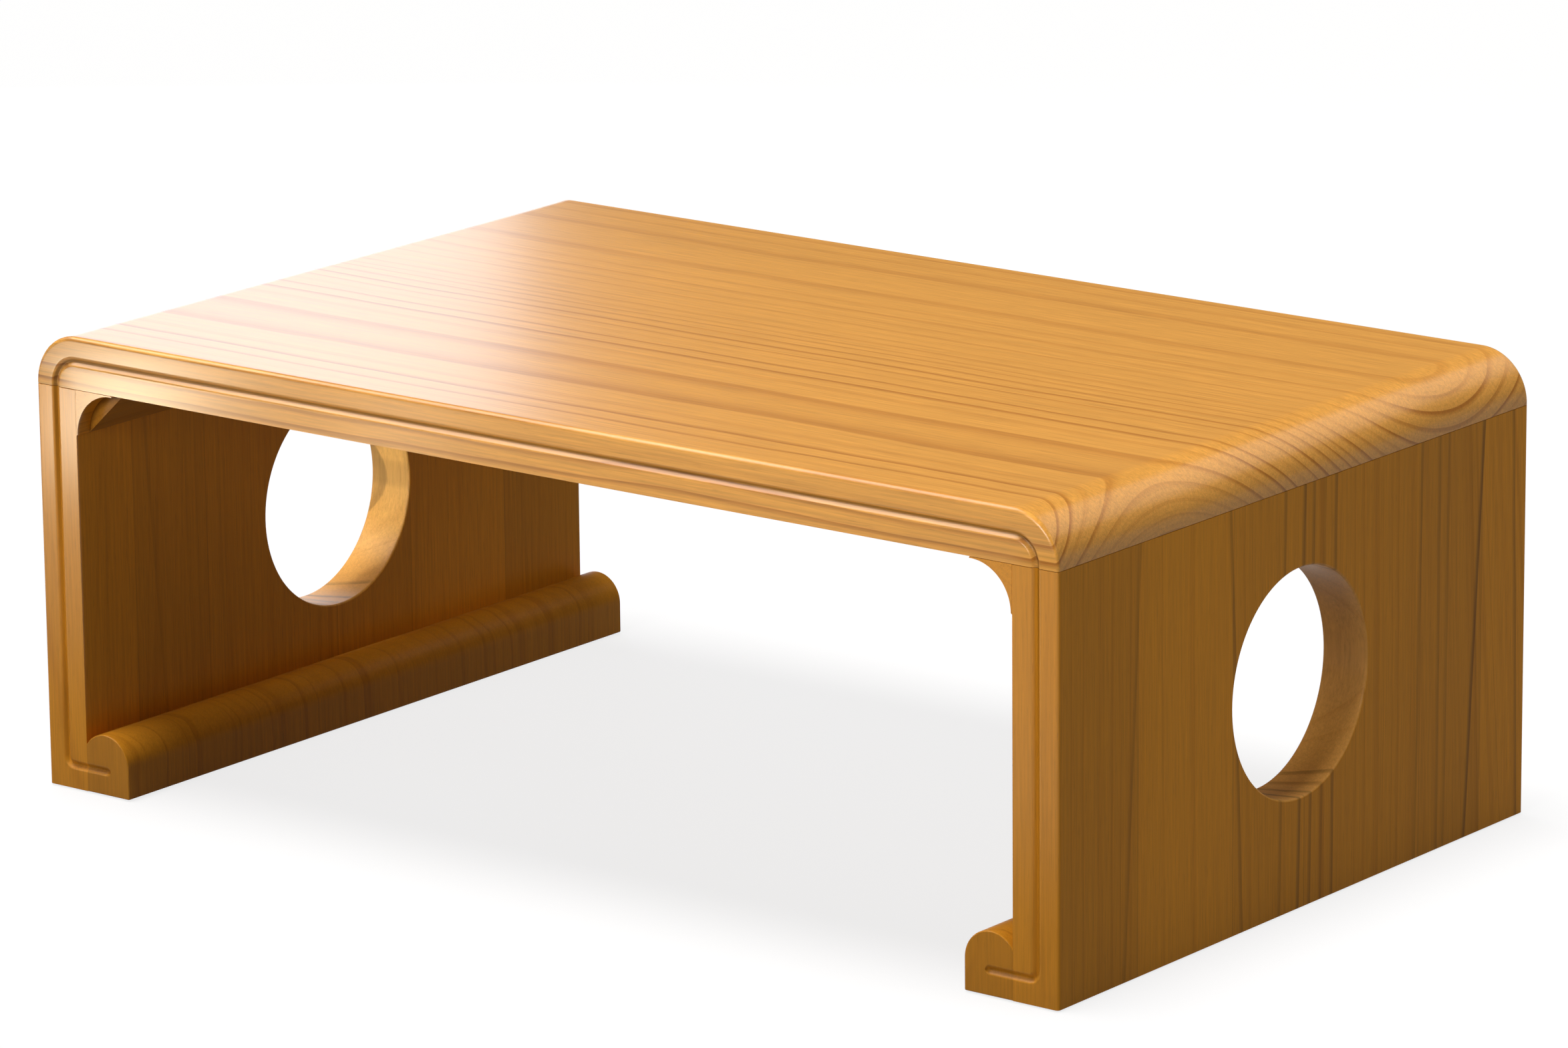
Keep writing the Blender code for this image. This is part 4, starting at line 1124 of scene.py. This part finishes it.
# Screws: countersunk steel wood screws with a cross recess, four to a hinge and one to each catch's strike.
# Their heads are sunk flush with the plate that they hold.
RECESS_WIDTH = 0.0008
RECESS_SPAN = 0.0034
RECESS_DEPTH = 0.0008
SCREW_POINT = 0.002
SCREW_HEAD_EASE = 0.00015
SCREW_PALE = (0.68, 0.67, 0.64, 1.0)
SCREW_DARK = (0.50, 0.49, 0.46, 1.0)
SCREW_BRUSHING = ((900.0, 900.0, 900.0), 0.30, 0.15)


def flush_with(node, face):
    """The middle of a solid's underside (0) or upper side (1)."""
    spot = middle_of(node)
    return Matrix.Translation((spot.x, spot.y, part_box(node)[face].z))


screw_finish = metal("screw_steel", (SCREW_PALE, SCREW_DARK), *SCREW_BRUSHING)
screw_length = size_of("right_front_catch_screw").z
screw_profile = [
    (0, 0),
    (SCREW_HEAD_RADIUS - SCREW_HEAD_EASE, 0),
    (SCREW_HEAD_RADIUS, -SCREW_HEAD_EASE),
    (SCREW_SHANK_RADIUS, -SCREW_HEAD_HEIGHT),
    (SCREW_SHANK_RADIUS, SCREW_POINT - screw_length),
    (0, -screw_length),
]
span = RECESS_SPAN / 2
width = RECESS_WIDTH / 2
arm = [(span, -width), (span, width), (width, width)]
cross = []
for quarter in range(4):
    cross += [Matrix.Rotation(quarter * math.pi / 2, 2) @ Vector(point) for point in arm]
recess = prism(cross, -RECESS_DEPTH, RECESS_DEPTH)
screw_shape = carved(turned(screw_profile, SCREW_SIDES), recess)
screw_mesh = new_mesh("screw", screw_shape, screw_finish)
for corner, side, turn in CORNERS:
    y = middle_of(f"{corner}_hinge_pin").y * math.cos(turn)
    for kind, lie, body in (("top", under_top, "tabletop"), ("leg", down_slope, f"{side}_leg")):
        seats = [NODE_TURN[side] @ on_axis(y, *lie) @ seat for seat in screw_seats()]
        for number in (1, 2):
            node = f"{corner}_hinge_{kind}_screw_{number}"
            spot = middle_of(node)
            seat = min(seats, key=lambda place: (place.translation - spot).length)
            add_piece(f"{corner}_{kind}_leaf_screw_{number}", screw_mesh, seat, body, node)
    node = f"{corner}_catch_screw"
    add_piece(f"{corner}_strike_screw", screw_mesh, flush_with(node, 1), f"{side}_leg", node)

# Catches: a nickel-plated magnet let into the underside of the top, over a steel strike in the side panel.
# They hold an opened leg to the top when the table is lifted, and let go when the leg is pulled in.
MAGNET_EASE = 0.0004
DISC_SIDES = 48
NICKEL = (0.72, 0.71, 0.68, 1.0)
NICKEL_DARK = (0.60, 0.59, 0.56, 1.0)
NICKEL_BRUSHING = ((300.0, 300.0, 300.0), 0.22, 0.06)

magnet_finish = metal("magnet_plating", (NICKEL, NICKEL_DARK), *NICKEL_BRUSHING)
magnet_size = size_of("right_front_catch_magnet")
radius = magnet_size.x / 2
reach = magnet_size.z / 2
magnet_half = [(0, reach), (radius - MAGNET_EASE, reach), (radius, reach - MAGNET_EASE)]
magnet_profile = magnet_half + [(across, -z) for across, z in reversed(magnet_half)]
magnet_mesh = new_mesh("magnet", turned(magnet_profile, DISC_SIDES), magnet_finish)
strike_size = size_of("right_front_catch_strike")
radius = strike_size.x / 2
strike_profile = [
    (SCREW_HEAD_RADIUS + FIT, 0),
    (radius - MAGNET_EASE, 0),
    (radius, -MAGNET_EASE),
    (radius, -strike_size.z),
    (SCREW_SHANK_RADIUS + FIT, -strike_size.z),
    (SCREW_SHANK_RADIUS + FIT, -SCREW_HEAD_HEIGHT - FIT),
]
strike_mesh = new_mesh("strike", turned(strike_profile, DISC_SIDES, ring=True), steel_finish)
for corner, side, turn in CORNERS:
    node = f"{corner}_catch_magnet"
    place = Matrix.Translation(middle_of(node))
    add_piece(f"{corner}_holding_magnet", magnet_mesh, place, "tabletop", node)
    node = f"{corner}_catch_strike"
    add_piece(f"{corner}_strike_plate", strike_mesh, flush_with(node, 1), f"{side}_leg", node)

# Foot pads: discs punched from brown wool felt, glued into shallow recesses under the side panels.
# Their rims are worn round where they slide on the floor.
PAD_WEAR = 0.0009
PAD_WEAR_STEPS = 4
PAD_SIDES = 56
FELT = (0.150, 0.108, 0.078, 1.0)
FELT_PALE = (0.260, 0.200, 0.150, 1.0)
HAIRS = ((1500.0, 1500.0, 1500.0), 4.0)  # marks to a metre, and their detail
TUFTS = ((260.0, 260.0, 260.0), 2.0)
HAIR_PART = 0.7  # how much of the felt's mottling is hairs, the rest being tufts
MOTTLE_RIM = (0.40, 0.66)
FELT_RELIEF = (0.7, 0.0004)
FELT_ROUGHNESS = 0.90
HAIR_ROUGHNESS = 0.08
FELT_SPECULAR = 0.1
FELT_SHEEN = 0.3

felt_finish = Finish("felt")
felt_point = felt_finish.node("ShaderNodeTexCoord", output="Object")
hairs = stretched_noise(felt_point, *HAIRS)
tufts = stretched_noise(felt_point, *TUFTS)
mottle = smooth_step(hairs * HAIR_PART + tufts * (1 - HAIR_PART), *MOTTLE_RIM)
felt_sockets = {
    "Base Color": mixed(mottle, FELT, FELT_PALE),
    "Roughness": FELT_ROUGHNESS + HAIR_ROUGHNESS * hairs,
    "Specular IOR Level": FELT_SPECULAR,
    "Sheen Weight": FELT_SHEEN,
    "Normal": relief(hairs + tufts, *FELT_RELIEF),
}
surfaced(felt_finish, felt_sockets)
pad_size = size_of("right_front_foot_pad")
radius = pad_size.x / 2
pad_profile = [(0, 0)]
worn_rim = arc((0, 0), PAD_WEAR, 270, 360, PAD_WEAR_STEPS)
pad_profile += [(radius - PAD_WEAR + spot.x, PAD_WEAR + spot.y) for spot in worn_rim]
pad_profile += [(radius, pad_size.z), (0, pad_size.z)]
pad_mesh = new_mesh("felt_disc", turned(pad_profile, PAD_SIDES), felt_finish)
for corner, side, turn in CORNERS:
    node = f"{corner}_foot_pad"
    add_piece(f"{corner}_felt_disc", pad_mesh, flush_with(node, 0), f"{side}_leg", node)
